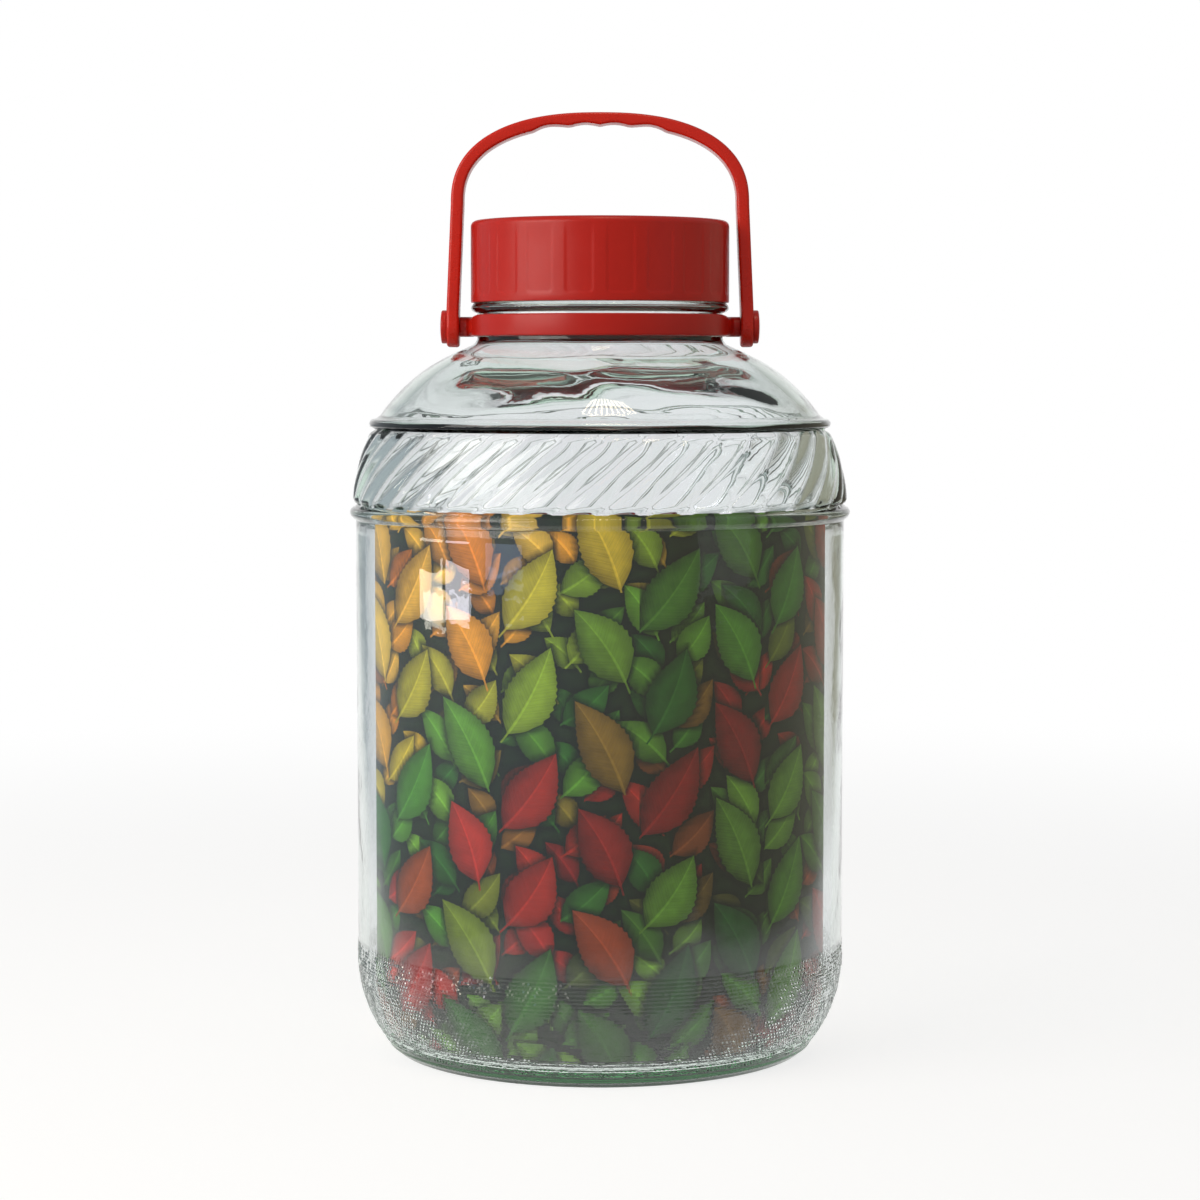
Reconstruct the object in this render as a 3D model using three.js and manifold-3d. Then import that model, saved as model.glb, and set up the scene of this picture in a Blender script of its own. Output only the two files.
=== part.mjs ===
// A fifteen-litre glass storage jar with a red screw cap, a sealing disc, a collar round the
// neck, a carrying handle on two pivot pins and a printed card standing inside the glass.
// Millimetres, +Z up. The origin is the centre of the base, on the surface it stands on, and
// the handle's pivots lie along X. The front of the card faces -Y.
import * as THREE from 'three';
import { mergeVertices } from 'three/addons/utils/BufferGeometryUtils.js';
import Module from 'manifold-3d';

const wasm = await Module();
wasm.setup();

// Glass body, from the table upwards
const body_radius = 123.8;
const glass_wall = 4.5;
const heel_radius = 68;
const heel_height = 47;
const foot_width = 9;
const push_up = 6;
const floor_thickness = 9;
const floor_corner_radius = 10;
const heel_share = 0.75;

// The two rounded hoops and the band of slanting flutes between them
const lower_hoop_height = 272.8;
const lower_hoop_section = 3;
const upper_hoop_rise = 42.2;
const upper_hoop_section = 2.6;
const upper_hoop_inset = 9;
const band_arc_radius = 94;
const band_proud = 1.8;
const band_end_margin = 1.2;
const flute_count = 38;
const flute_depth = 2;
const flute_twist = THREE.MathUtils.degToRad(20.8);
const flute_end_length = 6;
const flute_cover = 0.3;

// Shoulder, collar groove and transfer bead
const shoulder_radius = 89.6;
const shoulder_start_angle = THREE.MathUtils.degToRad(33.2);
const neck_fillet_radius = 4.5;
const neck_radius = 62.2;
const neck_flare = 10.6;
const groove_height = 12.1;
const bead_proud = 3.1;
const bead_height = 5.2;

// Threaded finish and mouth
const finish_radius = 61;
const finish_height = 36.5;
const rim_round = 1.5;
const thread_pitch = 8;
const thread_turns = 1.5;
const thread_height = 1.7;
const thread_root_width = 3.8;
const thread_crest_width = 1.6;
const thread_runout_turns = 0.25;
const thread_start_height = 9.6;
const thread_embed = 0.6;

// Fits between pieces
const seat_gap = 0.3;
const running_gap = 0.4;
const thread_radial_gap = 0.5;
const thread_flank_gap = 0.4;
const cut_overrun = 2;

// Sealing disc
const seal_thickness = 1.8;

// Screw cap
const cap_wall = 2.1;
const cap_top = 2.2;
const cap_edge_radius = 3;
const cap_thread_turns = 1.25;
const grip_count = 20;
const grip_depth = 0.5;
const grip_shares = [0.13, 0.19, 0.81, 0.87];
const grip_sunk_shares = [0, 1, 1, 0];
const grip_bottom_margin = 3.2;
const grip_top_margin = 1;
const grip_end_slope = 1;

// Collar round the neck
const collar_wall = 2.8;
const collar_height = 10.8;
const collar_edge_round = 0.9;
const post_radius = 4.8;
const post_bore_depth = 6.4;
const ear_half_width = 11;
const ear_taper_length = 3.2;

// Handle
const handle_thickness = 6.3;
const handle_grip_width = 18;
const handle_eye_radius = 10.3;
const handle_edge_chamfer = 1.2;
const handle_side_gap = 3.4;
const handle_lean = 2.4;
const handle_arm_height = 61.5;
const handle_arch_rise = 45.7;
const handle_arch_power = 2.4;
const finger_inner_pitch = 15.4;
const finger_outer_pitch = 19.4;
const finger_depth = 1.1;

// Pivot pins
const pin_radius = 3;
const pin_head_radius = 8.4;
const pin_head_height = 2.5;
const pin_dome = 0.6;
const pin_dome_half_share = 0.75;
const pin_edge_round = 0.7;
const pin_tip_chamfer = 0.8;

// Printed card inside the glass
const card_thickness = 0.4;
const card_width = 284;
const card_height = 259;
const card_foot_rise = 1.2;
const card_level_shares = [0, 0.035, 0.11, 1];

// How finely round shapes are divided
const glass_segments = 52;
const cavity_segments = 36;
const cap_inside_segments = 40;
const collar_segments = 44;
const round_segments = 18;
const eye_segments = 28;
const thread_steps_per_turn = 28;
const points_per_flute = 4;
const flute_levels = 5;
const card_segments = 18;
const steps_per_finger = 4;
const handle_corner_steps = 8;
const handle_arm_steps = 3;

// Materials
const clear_glass = new THREE.MeshStandardMaterial({
  color: 0xd3dedb, roughness: 0.05, metalness: 0, transparent: true, opacity: 0.35,
});
const red_plastic = new THREE.MeshStandardMaterial({ color: 0xc42a22, roughness: 0.28, metalness: 0 });
const white_foam = new THREE.MeshStandardMaterial({ color: 0xece9e2, roughness: 0.7, metalness: 0 });
const printed_card = new THREE.MeshStandardMaterial({ color: 0x4c7a35, roughness: 0.45, metalness: 0 });

const full_turn = 2 * Math.PI;
const quarter_turn = Math.PI / 2;
const weld_distance = 1e-4;

// Closed surfaces and solids

function sameWayOut(positions, triangles) {
  let volume = 0;
  const a = new THREE.Vector3();
  const b = new THREE.Vector3();
  const c = new THREE.Vector3();
  for (let i = 0; i < triangles.length; i += 3) {
    a.fromArray(positions, 3 * triangles[i]);
    b.fromArray(positions, 3 * triangles[i + 1]);
    c.fromArray(positions, 3 * triangles[i + 2]);
    volume += a.dot(b.cross(c));
  }
  if (volume > 0) return triangles;
  const turned = [];
  for (let i = 0; i < triangles.length; i += 3) {
    turned.push(triangles[i], triangles[i + 2], triangles[i + 1]);
  }
  return turned;
}

// Turns a closed three.js geometry into a solid that can be joined and cut.
function solidOf(geometry) {
  const bare = new THREE.BufferGeometry();
  bare.setAttribute('position', geometry.getAttribute('position').clone());
  if (geometry.index) bare.setIndex(geometry.index.clone());
  const welded = mergeVertices(bare, weld_distance);
  const positions = Float32Array.from(welded.getAttribute('position').array);
  const kept = [];
  const index = welded.index.array;
  for (let i = 0; i < index.length; i += 3) {
    const [p, q, r] = [index[i], index[i + 1], index[i + 2]];
    if (p !== q && q !== r && r !== p) kept.push(p, q, r);
  }
  const triVerts = Uint32Array.from(sameWayOut(positions, kept));
  return new wasm.Manifold(new wasm.Mesh({ numProp: 3, vertProperties: positions, triVerts }));
}

function geometryOf(solid) {
  const mesh = solid.getMesh();
  const geometry = new THREE.BufferGeometry();
  const positions = new Float32Array(mesh.vertProperties);
  geometry.setAttribute('position', new THREE.BufferAttribute(positions, 3));
  geometry.setIndex(new THREE.BufferAttribute(new Uint32Array(mesh.triVerts), 1));
  geometry.computeVertexNormals();
  return geometry;
}

function piece(name, solid, material) {
  const mesh = new THREE.Mesh(geometryOf(solid), material);
  mesh.name = name;
  return mesh;
}

// A solid of revolution round Z from an outline of [radius, height] points.
function turned(outline, segments) {
  const points = outline.map(([radius, height]) => new THREE.Vector2(radius, height));
  const geometry = new THREE.LatheGeometry(points, segments);
  geometry.rotateX(quarter_turn);
  return solidOf(geometry);
}

// A closed solid from rings of points: every ring has as many points, and the first and the
// last ring are closed by flat ends, unless the rings run round and meet.
function lofted(rings, meeting = false) {
  const count = rings[0].length;
  const positions = rings.flat().flatMap((point) => [point.x, point.y, point.z]);
  const index = [];
  const bands = meeting ? rings.length : rings.length - 1;
  for (let i = 0; i < bands; i += 1) {
    const low = i * count;
    const high = ((i + 1) % rings.length) * count;
    for (let j = 0; j < count; j += 1) {
      const next = (j + 1) % count;
      index.push(low + j, low + next, high + next, low + j, high + next, high + j);
    }
  }
  if (!meeting) {
    const last = (rings.length - 1) * count;
    for (let j = 1; j < count - 1; j += 1) {
      index.push(0, j + 1, j, last, last + j, last + j + 1);
    }
  }
  const geometry = new THREE.BufferGeometry();
  geometry.setAttribute('position', new THREE.Float32BufferAttribute(positions, 3));
  geometry.setIndex(index);
  return solidOf(geometry);
}

// Outline helpers, on [radius, height] points

function arc([centre_radius, centre_height], radius, from, to, steps) {
  const points = [];
  for (let i = 0; i <= steps; i += 1) {
    const angle = from + (to - from) * i / steps;
    points.push([centre_radius + radius * Math.cos(angle), centre_height + radius * Math.sin(angle)]);
  }
  return points;
}

// The corner between two straight lines through three points, rounded to a radius.
function roundedCorner(before, corner, after, radius, steps) {
  const point = new THREE.Vector2(...corner);
  const back = new THREE.Vector2(...before).sub(point).normalize();
  const on = new THREE.Vector2(...after).sub(point).normalize();
  const half = Math.acos(THREE.MathUtils.clamp(back.dot(on), -1, 1)) / 2;
  const setback = radius / Math.tan(half);
  const centre = back.clone().add(on).normalize().multiplyScalar(radius / Math.sin(half)).add(point);
  const first = back.multiplyScalar(setback).add(point).sub(centre).angle();
  const last = on.multiplyScalar(setback).add(point).sub(centre).angle();
  let sweep = last - first;
  if (sweep > Math.PI) sweep -= full_turn;
  if (sweep < -Math.PI) sweep += full_turn;
  return arc([centre.x, centre.y], radius, first, first + sweep, steps);
}

// Heights and radii that follow from the driving sizes

const heel_centre = [body_radius - heel_radius, heel_height];
const foot_radius = heel_centre[0] + Math.sqrt(heel_radius ** 2 - heel_height ** 2);
const foot_inner_radius = foot_radius - foot_width;
const band_bottom = lower_hoop_height + lower_hoop_section + band_end_margin;
const upper_hoop_height = lower_hoop_height + upper_hoop_rise;
const band_top = upper_hoop_height - upper_hoop_section - band_end_margin;
const crest_radius = body_radius + band_proud;

// Radius of the flute crests at a height, along the arc that the band follows.
function crestRadius(height) {
  const rise = height - lower_hoop_height;
  return crest_radius - band_arc_radius + Math.sqrt(band_arc_radius ** 2 - rise ** 2);
}

const upper_hoop_centre = [body_radius - upper_hoop_inset, upper_hoop_height];
const shoulder_start = [
  upper_hoop_centre[0] - upper_hoop_section,
  upper_hoop_height + upper_hoop_section * 2,
];
const shoulder_centre = [
  shoulder_start[0] - shoulder_radius * Math.cos(shoulder_start_angle),
  shoulder_start[1] - shoulder_radius * Math.sin(shoulder_start_angle),
];
const shoulder_end_radius = neck_radius + neck_flare;
const shoulder_end_angle = Math.acos((shoulder_end_radius - shoulder_centre[0]) / shoulder_radius);
const shoulder_end = [
  shoulder_end_radius,
  shoulder_centre[1] + shoulder_radius * Math.sin(shoulder_end_angle),
];
const neck_corner = [neck_radius, shoulder_end[1] + neck_flare / Math.tan(shoulder_end_angle)];
const groove_bottom = neck_corner[1] + neck_fillet_radius * Math.tan(shoulder_end_angle / 2);
const bead_centre_height = groove_bottom + groove_height + bead_height / 2;
const bead_radius = neck_radius + bead_proud;
const finish_bottom = bead_centre_height + bead_height / 2;
const rim_height = finish_bottom + finish_height;
const mouth_radius = finish_radius - glass_wall;

// Thread

// A helical ridge that stands out from, or in from, a cylinder, with ends that run out to nothing.
function helicalRidge({ root_radius, outward, start_height, turns, embed }) {
  const steps = Math.round(thread_steps_per_turn * turns);
  const rings = [];
  for (let i = 0; i <= steps; i += 1) {
    const angle = full_turn * turns * i / steps;
    const height = start_height + thread_pitch * turns * i / steps;
    const runout = Math.min(1, Math.min(i, steps - i) / (thread_runout_turns * thread_steps_per_turn));
    const crest = root_radius + outward * thread_height * runout;
    const base = root_radius - outward * embed;
    const section = [
      [base, -thread_root_width / 2],
      [crest, -thread_crest_width / 2],
      [crest, thread_crest_width / 2],
      [base, thread_root_width / 2],
    ];
    rings.push(section.map(([radius, offset]) => new THREE.Vector3(
      radius * Math.cos(angle),
      radius * Math.sin(angle),
      height + offset,
    )));
  }
  return lofted(rings);
}

// Glass

function glassOutline() {
  const punt_radius = (foot_inner_radius ** 2 + push_up ** 2) / (2 * push_up);
  const punt_half_angle = Math.asin(foot_inner_radius / punt_radius);
  const heel_end_angle = -Math.asin(heel_height / heel_radius);
  const band_floor = [];
  const floor_steps = 3;
  for (let i = 0; i <= floor_steps; i += 1) {
    const height = THREE.MathUtils.lerp(
      lower_hoop_height + lower_hoop_section,
      upper_hoop_height - upper_hoop_section,
      i / floor_steps,
    );
    band_floor.push([crestRadius(height) - flute_depth - flute_cover, height]);
  }
  return [
    ...arc([0, push_up - punt_radius], punt_radius, quarter_turn, quarter_turn - punt_half_angle, 3),
    ...arc(heel_centre, heel_radius, heel_end_angle, 0, 6),
    ...arc([body_radius, lower_hoop_height], lower_hoop_section, -quarter_turn, quarter_turn, 4)
      .slice(0, -1),
    ...band_floor,
    ...arc(upper_hoop_centre, upper_hoop_section, -quarter_turn / 3, quarter_turn, 3),
    ...arc(shoulder_centre, shoulder_radius, shoulder_start_angle, shoulder_end_angle, 5),
    ...roundedCorner(shoulder_end, neck_corner, [neck_radius, rim_height], neck_fillet_radius, 3),
    [neck_radius, bead_centre_height - bead_height / 2],
    [bead_radius - bead_proud / 5, bead_centre_height - bead_height / 5],
    [bead_radius, bead_centre_height],
    [bead_radius - bead_proud / 5, bead_centre_height + bead_height / 5],
    [finish_radius, finish_bottom],
    ...arc([finish_radius - rim_round, rim_height - rim_round], rim_round, 0, quarter_turn, 2),
    [0, rim_height],
  ];
}

const floor_height = push_up + floor_thickness;

function cavityOutline() {
  const inner_heel = heel_radius - glass_wall;
  const heel_meets_floor = -Math.asin((heel_height - floor_height) / inner_heel);
  const floor_edge = heel_centre[0] + inner_heel * Math.cos(heel_meets_floor);
  const up_the_heel = [
    floor_edge - floor_corner_radius * Math.sin(heel_meets_floor),
    floor_height + floor_corner_radius * Math.cos(heel_meets_floor),
  ];
  const body_inner = body_radius - glass_wall;
  const inner_shoulder = shoulder_radius - glass_wall;
  const corner = roundedCorner(
    [0, floor_height],
    [floor_edge, floor_height],
    up_the_heel,
    floor_corner_radius,
    3,
  );
  const upper_angle = Math.asin((band_top - lower_hoop_height) / band_arc_radius);
  const dome = arc(
    [crest_radius - flute_depth - band_arc_radius, lower_hoop_height],
    band_arc_radius - glass_wall,
    0,
    upper_angle,
    3,
  );
  return [
    [0, floor_height],
    ...corner,
    ...arc(heel_centre, inner_heel, heel_meets_floor * heel_share, 0, 4),
    [body_inner, lower_hoop_height - lower_hoop_section],
    ...dome.slice(1),
    ...arc(shoulder_centre, inner_shoulder, shoulder_start_angle, shoulder_end_angle, 4),
    [mouth_radius, groove_bottom],
    [mouth_radius, rim_height - rim_round],
    [mouth_radius + rim_round / 2, rim_height + cut_overrun],
    [0, rim_height + cut_overrun],
  ];
}

// Radius of the cavity at a height above its floor.
function cavityRadius(height) {
  const outline = cavityOutline();
  const above = outline.findIndex((point, i) => i > 1 && point[1] >= height);
  const [low_radius, low] = outline[above - 1];
  const [high_radius, high] = outline[above];
  return THREE.MathUtils.mapLinear(height, low, high, low_radius, high_radius);
}

// The band of slanting flutes: rounded ribs that twist as they climb and end in scallops.
function fluteBand() {
  const count = flute_count * points_per_flute;
  const outer = [];
  const inner = [];
  for (let i = 0; i <= flute_levels; i += 1) {
    const share = i / flute_levels;
    const height = THREE.MathUtils.lerp(band_bottom, band_top, share);
    const from_end = Math.min(height - band_bottom, band_top - height);
    const fade = Math.max(0, 1 - from_end / flute_end_length);
    const end_drop = (flute_depth + flute_cover * 2) * fade ** 2;
    const twist = flute_twist * share;
    const inner_radius = crestRadius(height) - flute_depth - glass_wall / 3;
    outer.push([]);
    inner.push([]);
    for (let j = 0; j < count; j += 1) {
      const angle = full_turn * j / count + twist;
      const rib = Math.abs(Math.cos(Math.PI * j / points_per_flute));
      const radius = crestRadius(height) - flute_depth * (1 - rib) - end_drop;
      outer[i].push(new THREE.Vector3(radius * Math.cos(angle), radius * Math.sin(angle), height));
      inner[i].push(new THREE.Vector3(
        inner_radius * Math.cos(angle),
        inner_radius * Math.sin(angle),
        height,
      ));
    }
  }
  return lofted([...outer, inner.at(-1), inner[0]], true);
}

function glassJar() {
  const thread = helicalRidge({
    root_radius: finish_radius,
    outward: 1,
    start_height: finish_bottom + thread_start_height,
    turns: thread_turns,
    embed: thread_embed,
  });
  return turned(glassOutline(), glass_segments)
    .add(fluteBand())
    .add(thread)
    .subtract(turned(cavityOutline(), cavity_segments));
}

// Sealing disc, screw cap

const seal_bottom = rim_height + seat_gap;
const cap_inside_height = seal_bottom + seal_thickness + seat_gap;
const cap_height = cap_inside_height + cap_top;
const cap_inside_radius = finish_radius + thread_height + thread_radial_gap;
const cap_radius = cap_inside_radius + cap_wall;
const cap_bottom = finish_bottom;

function sealingDisc() {
  const radius = cap_inside_radius - running_gap;
  return turned(
    [
      [0, seal_bottom],
      [radius, seal_bottom],
      [radius, seal_bottom + seal_thickness],
      [0, seal_bottom + seal_thickness],
    ],
    cap_inside_segments,
  );
}

// One ring of the cap's outside: shallow sunken grips, parted by narrow lands.
function gripRing(radius, height, depth) {
  const ring = [];
  for (let i = 0; i < grip_count; i += 1) {
    grip_shares.forEach((place, j) => {
      const angle = full_turn * (i + place) / grip_count;
      const reach = radius - depth * grip_sunk_shares[j];
      ring.push(new THREE.Vector3(reach * Math.cos(angle), reach * Math.sin(angle), height));
    });
  }
  return ring;
}

function screwCap() {
  const grip_bottom = cap_bottom + grip_bottom_margin;
  const grip_top = cap_height - cap_edge_radius - grip_top_margin;
  const edge = arc(
    [cap_radius - cap_edge_radius, cap_height - cap_edge_radius],
    cap_edge_radius,
    0,
    quarter_turn,
    2,
  );
  const outside = lofted([
    gripRing(cap_radius, cap_bottom, 0),
    gripRing(cap_radius, grip_bottom, 0),
    gripRing(cap_radius, grip_bottom + grip_end_slope, grip_depth),
    gripRing(cap_radius, grip_top - grip_end_slope, grip_depth),
    gripRing(cap_radius, grip_top, 0),
    ...edge.map(([radius, height]) => gripRing(radius, height, 0)),
  ]);
  const hollow = turned(
    [
      [0, cap_bottom - cut_overrun],
      [cap_inside_radius, cap_bottom - cut_overrun],
      [cap_inside_radius, cap_inside_height],
      [0, cap_inside_height],
    ],
    cap_inside_segments,
  );
  const flank_offset = (thread_root_width + thread_crest_width) / 2 + thread_flank_gap;
  const thread = helicalRidge({
    root_radius: cap_inside_radius,
    outward: -1,
    start_height: finish_bottom + thread_start_height - flank_offset,
    turns: cap_thread_turns,
    embed: thread_embed,
  });
  return outside.subtract(hollow).add(thread);
}

// Collar

const collar_inner_radius = neck_radius + running_gap;
const collar_outer_radius = collar_inner_radius + collar_wall;
const collar_bottom = groove_bottom + running_gap;
const collar_top = collar_bottom + collar_height;
const pivot_height = collar_bottom + post_radius;
const arm_inner = Math.max(collar_outer_radius, cap_radius, bead_radius) + handle_side_gap + handle_lean;
const arm_outer = arm_inner + handle_thickness;
const post_end = arm_inner - running_gap;
const bore_radius = pin_radius + seat_gap;

// A solid of revolution round X, from an outline of [radius, distance from the middle] points.
function turnedAlongX(outline, segments, side) {
  const points = outline.map(([radius, along]) => new THREE.Vector2(radius, along));
  const geometry = new THREE.LatheGeometry(points, segments);
  geometry.rotateZ(-side * quarter_turn);
  geometry.translate(0, 0, pivot_height);
  return solidOf(geometry);
}

// The ear that swells from the hoop and draws in to the round post.
function postOnEar(side) {
  const root = collar_inner_radius + collar_wall / 2;
  const ear_end = collar_outer_radius + ear_taper_length;
  const half_height = collar_height / 2 - collar_edge_round;
  const middle = collar_bottom + collar_height / 2;
  const stations = [
    [root, ear_half_width, half_height, middle],
    [(root + ear_end) / 2, (ear_half_width + post_radius) / 2, half_height, middle],
    [ear_end, post_radius, post_radius, pivot_height],
    [post_end, post_radius, post_radius, pivot_height],
  ];
  return lofted(stations.map(([along, half_width, half_tall, centre]) => {
    const ring = [];
    for (let i = 0; i < round_segments; i += 1) {
      const angle = full_turn * i / round_segments;
      ring.push(new THREE.Vector3(
        side * along,
        half_width * Math.cos(angle),
        centre + half_tall * Math.sin(angle),
      ));
    }
    return ring;
  }));
}

function neckCollar() {
  const hoop = turned(
    [
      [collar_inner_radius, collar_bottom],
      [collar_outer_radius - collar_edge_round, collar_bottom],
      [collar_outer_radius, collar_bottom + collar_edge_round],
      [collar_outer_radius, collar_top - collar_edge_round],
      [collar_outer_radius - collar_edge_round, collar_top],
      [collar_inner_radius, collar_top],
      [collar_inner_radius, collar_bottom],
    ],
    collar_segments,
  );
  let collar = hoop;
  for (const side of [-1, 1]) {
    const post = postOnEar(side);
    const bore = turnedAlongX(
      [
        [0, post_end - post_bore_depth],
        [bore_radius, post_end - post_bore_depth],
        [bore_radius, post_end + cut_overrun],
        [0, post_end + cut_overrun],
      ],
      round_segments,
      side,
    );
    collar = collar.add(post).subtract(bore);
  }
  return collar;
}

function pivotPin(side) {
  const head_bottom = arm_outer + running_gap;
  const head_top = head_bottom + pin_head_height;
  const tip = post_end - post_bore_depth + running_gap;
  return turnedAlongX(
    [
      [0, tip],
      [pin_radius - pin_tip_chamfer, tip],
      [pin_radius, tip + pin_tip_chamfer],
      [pin_radius, head_bottom],
      [pin_head_radius, head_bottom],
      [pin_head_radius, head_top - pin_edge_round],
      [pin_head_radius - pin_edge_round, head_top],
      [pin_head_radius / 2, head_top + pin_dome * pin_dome_half_share],
      [0, head_top + pin_dome],
    ],
    round_segments,
    side,
  );
}

// Handle

// Points along the outside of the strap, from the left eye over the arch to the right eye.
function handleStations() {
  const half_span = arm_outer - handle_lean;
  const springing = pivot_height + handle_arm_height;
  const right = [];
  for (const [from, pitch] of [[0, finger_inner_pitch], [finger_inner_pitch, finger_outer_pitch]]) {
    for (let i = 0; i < steps_per_finger; i += 1) {
      const across = from + pitch * i / steps_per_finger;
      const fall = 1 - (across / half_span) ** handle_arch_power;
      right.push([across, springing + handle_arch_rise * fall ** (1 / handle_arch_power)]);
    }
  }
  const power = 2 / handle_arch_power;
  const grip_reach = (finger_inner_pitch + finger_outer_pitch) / half_span;
  const corner_angle = Math.acos(grip_reach ** (1 / power));
  for (let i = 0; i < handle_corner_steps; i += 1) {
    const angle = corner_angle * (1 - i / handle_corner_steps);
    right.push([
      half_span * Math.cos(angle) ** power,
      springing + handle_arch_rise * Math.sin(angle) ** power,
    ]);
  }
  for (let i = 0; i <= handle_arm_steps; i += 1) {
    const share = i / handle_arm_steps;
    right.push([half_span + handle_lean * share, springing - handle_arm_height * share]);
  }
  const left = right.slice(1).map(([across, height]) => [-across, height]);
  return [...left.reverse(), ...right];
}

// How far the finger hollows cut into the inside of the strap, at a distance from its middle.
function fingerHollow(across) {
  const reach = Math.abs(across);
  if (reach >= finger_inner_pitch + finger_outer_pitch) return 0;
  const share = reach < finger_inner_pitch
    ? reach / finger_inner_pitch
    : (reach - finger_inner_pitch) / finger_outer_pitch;
  return finger_depth * Math.sin(Math.PI * share);
}

function strapSection(thickness, width, hollow) {
  const outside = thickness / 2;
  const inside = -thickness / 2 + hollow;
  const half = width / 2;
  const edge = handle_edge_chamfer;
  return [
    [outside, -half + edge],
    [outside, half - edge],
    [outside - edge, half],
    [inside + edge, half],
    [inside, half - edge],
    [inside, -half + edge],
    [inside + edge, -half],
    [outside - edge, -half],
  ];
}

function carryHandle() {
  const outer = handleStations();
  const eye_width = handle_eye_radius * 2;
  const top = pivot_height + handle_arm_height + handle_arch_rise;
  const rings = outer.map(([across, height], i) => {
    const before = outer[Math.max(0, i - 1)];
    const after = outer[Math.min(outer.length - 1, i + 1)];
    const along = new THREE.Vector2(after[0] - before[0], after[1] - before[1]).normalize();
    if (i === 0) along.set(0, 1);
    if (i === outer.length - 1) along.set(0, -1);
    const out = new THREE.Vector2(-along.y, along.x);
    const share = (height - pivot_height) / (top - pivot_height);
    const width = THREE.MathUtils.lerp(eye_width - handle_edge_chamfer, handle_grip_width, share);
    const section = strapSection(handle_thickness, width, fingerHollow(across));
    return section.map(([offset, side]) => {
      const reach = offset - handle_thickness / 2;
      return new THREE.Vector3(across + out.x * reach, side, height + out.y * reach);
    });
  });
  let handle = lofted(rings);
  for (const side of [-1, 1]) {
    const eye = turnedAlongX(
      [
        [0, arm_inner],
        [handle_eye_radius, arm_inner],
        [handle_eye_radius, arm_outer],
        [0, arm_outer],
      ],
      eye_segments,
      side,
    );
    const hole = turnedAlongX(
      [
        [0, arm_inner - cut_overrun],
        [bore_radius, arm_inner - cut_overrun],
        [bore_radius, arm_outer + cut_overrun],
        [0, arm_outer + cut_overrun],
      ],
      round_segments,
      side,
    );
    handle = handle.add(eye).subtract(hole);
  }
  return handle;
}

// Printed card: a thin sheet that stands on the floor's corner, follows the heel of the glass
// and lies against the wall up to the lower hoop.

function printedCard() {
  const bottom = floor_height + card_foot_rise;
  const slack = seat_gap + body_radius * (1 - Math.cos(Math.PI / cavity_segments));
  const outside = card_level_shares.map((share) => {
    const height = bottom + card_height * share;
    return [cavityRadius(height) - slack, height];
  });
  const inside = outside.map(([radius, height]) => [radius - card_thickness, height]);
  const section = [...outside, ...inside.reverse()];
  const rings = [];
  for (let i = 0; i <= card_segments; i += 1) {
    const angle = card_width / body_radius * (i / card_segments - 1 / 2) - quarter_turn;
    rings.push(section.map(([radius, height]) => new THREE.Vector3(
      radius * Math.cos(angle),
      radius * Math.sin(angle),
      height,
    )));
  }
  return lofted(rings);
}

const jar = new THREE.Group();
jar.add(piece('glass_jar', glassJar(), clear_glass));
jar.add(piece('printed_card', printedCard(), printed_card));
jar.add(piece('sealing_disc', sealingDisc(), white_foam));
jar.add(piece('screw_cap', screwCap(), red_plastic));
jar.add(piece('neck_collar', neckCollar(), red_plastic));
jar.add(piece('carry_handle', carryHandle(), red_plastic));
jar.add(piece('pivot_pin_left', pivotPin(-1), red_plastic));
jar.add(piece('pivot_pin_right', pivotPin(1), red_plastic));

export default jar;
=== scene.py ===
"""A large glass storage jar with a red screw cap, a neck collar and a swinging handle.

Lengths are in millimetres, and MM turns them to metres where Blender needs them.
"""
import math

import bpy
import numpy as np
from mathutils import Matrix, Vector


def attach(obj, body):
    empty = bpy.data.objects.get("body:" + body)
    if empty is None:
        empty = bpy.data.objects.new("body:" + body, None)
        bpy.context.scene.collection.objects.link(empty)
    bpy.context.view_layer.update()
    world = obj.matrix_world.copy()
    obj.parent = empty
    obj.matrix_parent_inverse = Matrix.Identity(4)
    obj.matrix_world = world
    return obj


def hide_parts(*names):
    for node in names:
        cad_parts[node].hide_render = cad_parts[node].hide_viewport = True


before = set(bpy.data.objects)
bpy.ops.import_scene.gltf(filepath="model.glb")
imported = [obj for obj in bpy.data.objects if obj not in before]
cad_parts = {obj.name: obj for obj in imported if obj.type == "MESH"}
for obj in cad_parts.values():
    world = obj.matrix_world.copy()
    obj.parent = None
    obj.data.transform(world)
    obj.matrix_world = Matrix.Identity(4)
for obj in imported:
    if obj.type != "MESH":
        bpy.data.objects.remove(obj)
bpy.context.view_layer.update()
scene = bpy.context.scene
scene.view_settings.view_transform = "Standard"

# STUDIO
# The camera stands a little above the middle of the jar and looks slightly down. There are a
# pale floor and a white backdrop, two tall windows on the left with low panes under them, a
# warm soft light overhead and a weak fill on the right.
MM = 0.001
MATH = "ShaderNodeMath"


def srgb(code):
    """An sRGB hex colour as linear red, green and blue with a full alpha."""
    parts = [int(code[i:i + 2], 16) / 255 for i in (1, 3, 5)]
    return tuple(c / 12.92 if c <= 0.04045 else ((c + 0.055) / 1.055) ** 2.4 for c in parts) + (1,)


def node(tree, kind, *inputs, named=None, **settings):
    """Adds one node: its settings, then its shown inputs in order or by name. Each input is a
    value, a socket, or another node, whose first shown output is linked."""
    made = tree.nodes.new(kind)
    for name, value in settings.items():
        setattr(made, name, value)
    shown = [socket for socket in made.inputs if socket.enabled]
    given = list(zip(shown, inputs)) + [(made.inputs[key], value) for key, value in (named or {}).items()]
    for socket, value in given:
        if isinstance(value, bpy.types.Node):
            value = next(output for output in value.outputs if output.enabled)
        if isinstance(value, bpy.types.NodeSocket):
            tree.links.new(value, socket)
        else:
            socket.default_value = value
    return made


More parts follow.
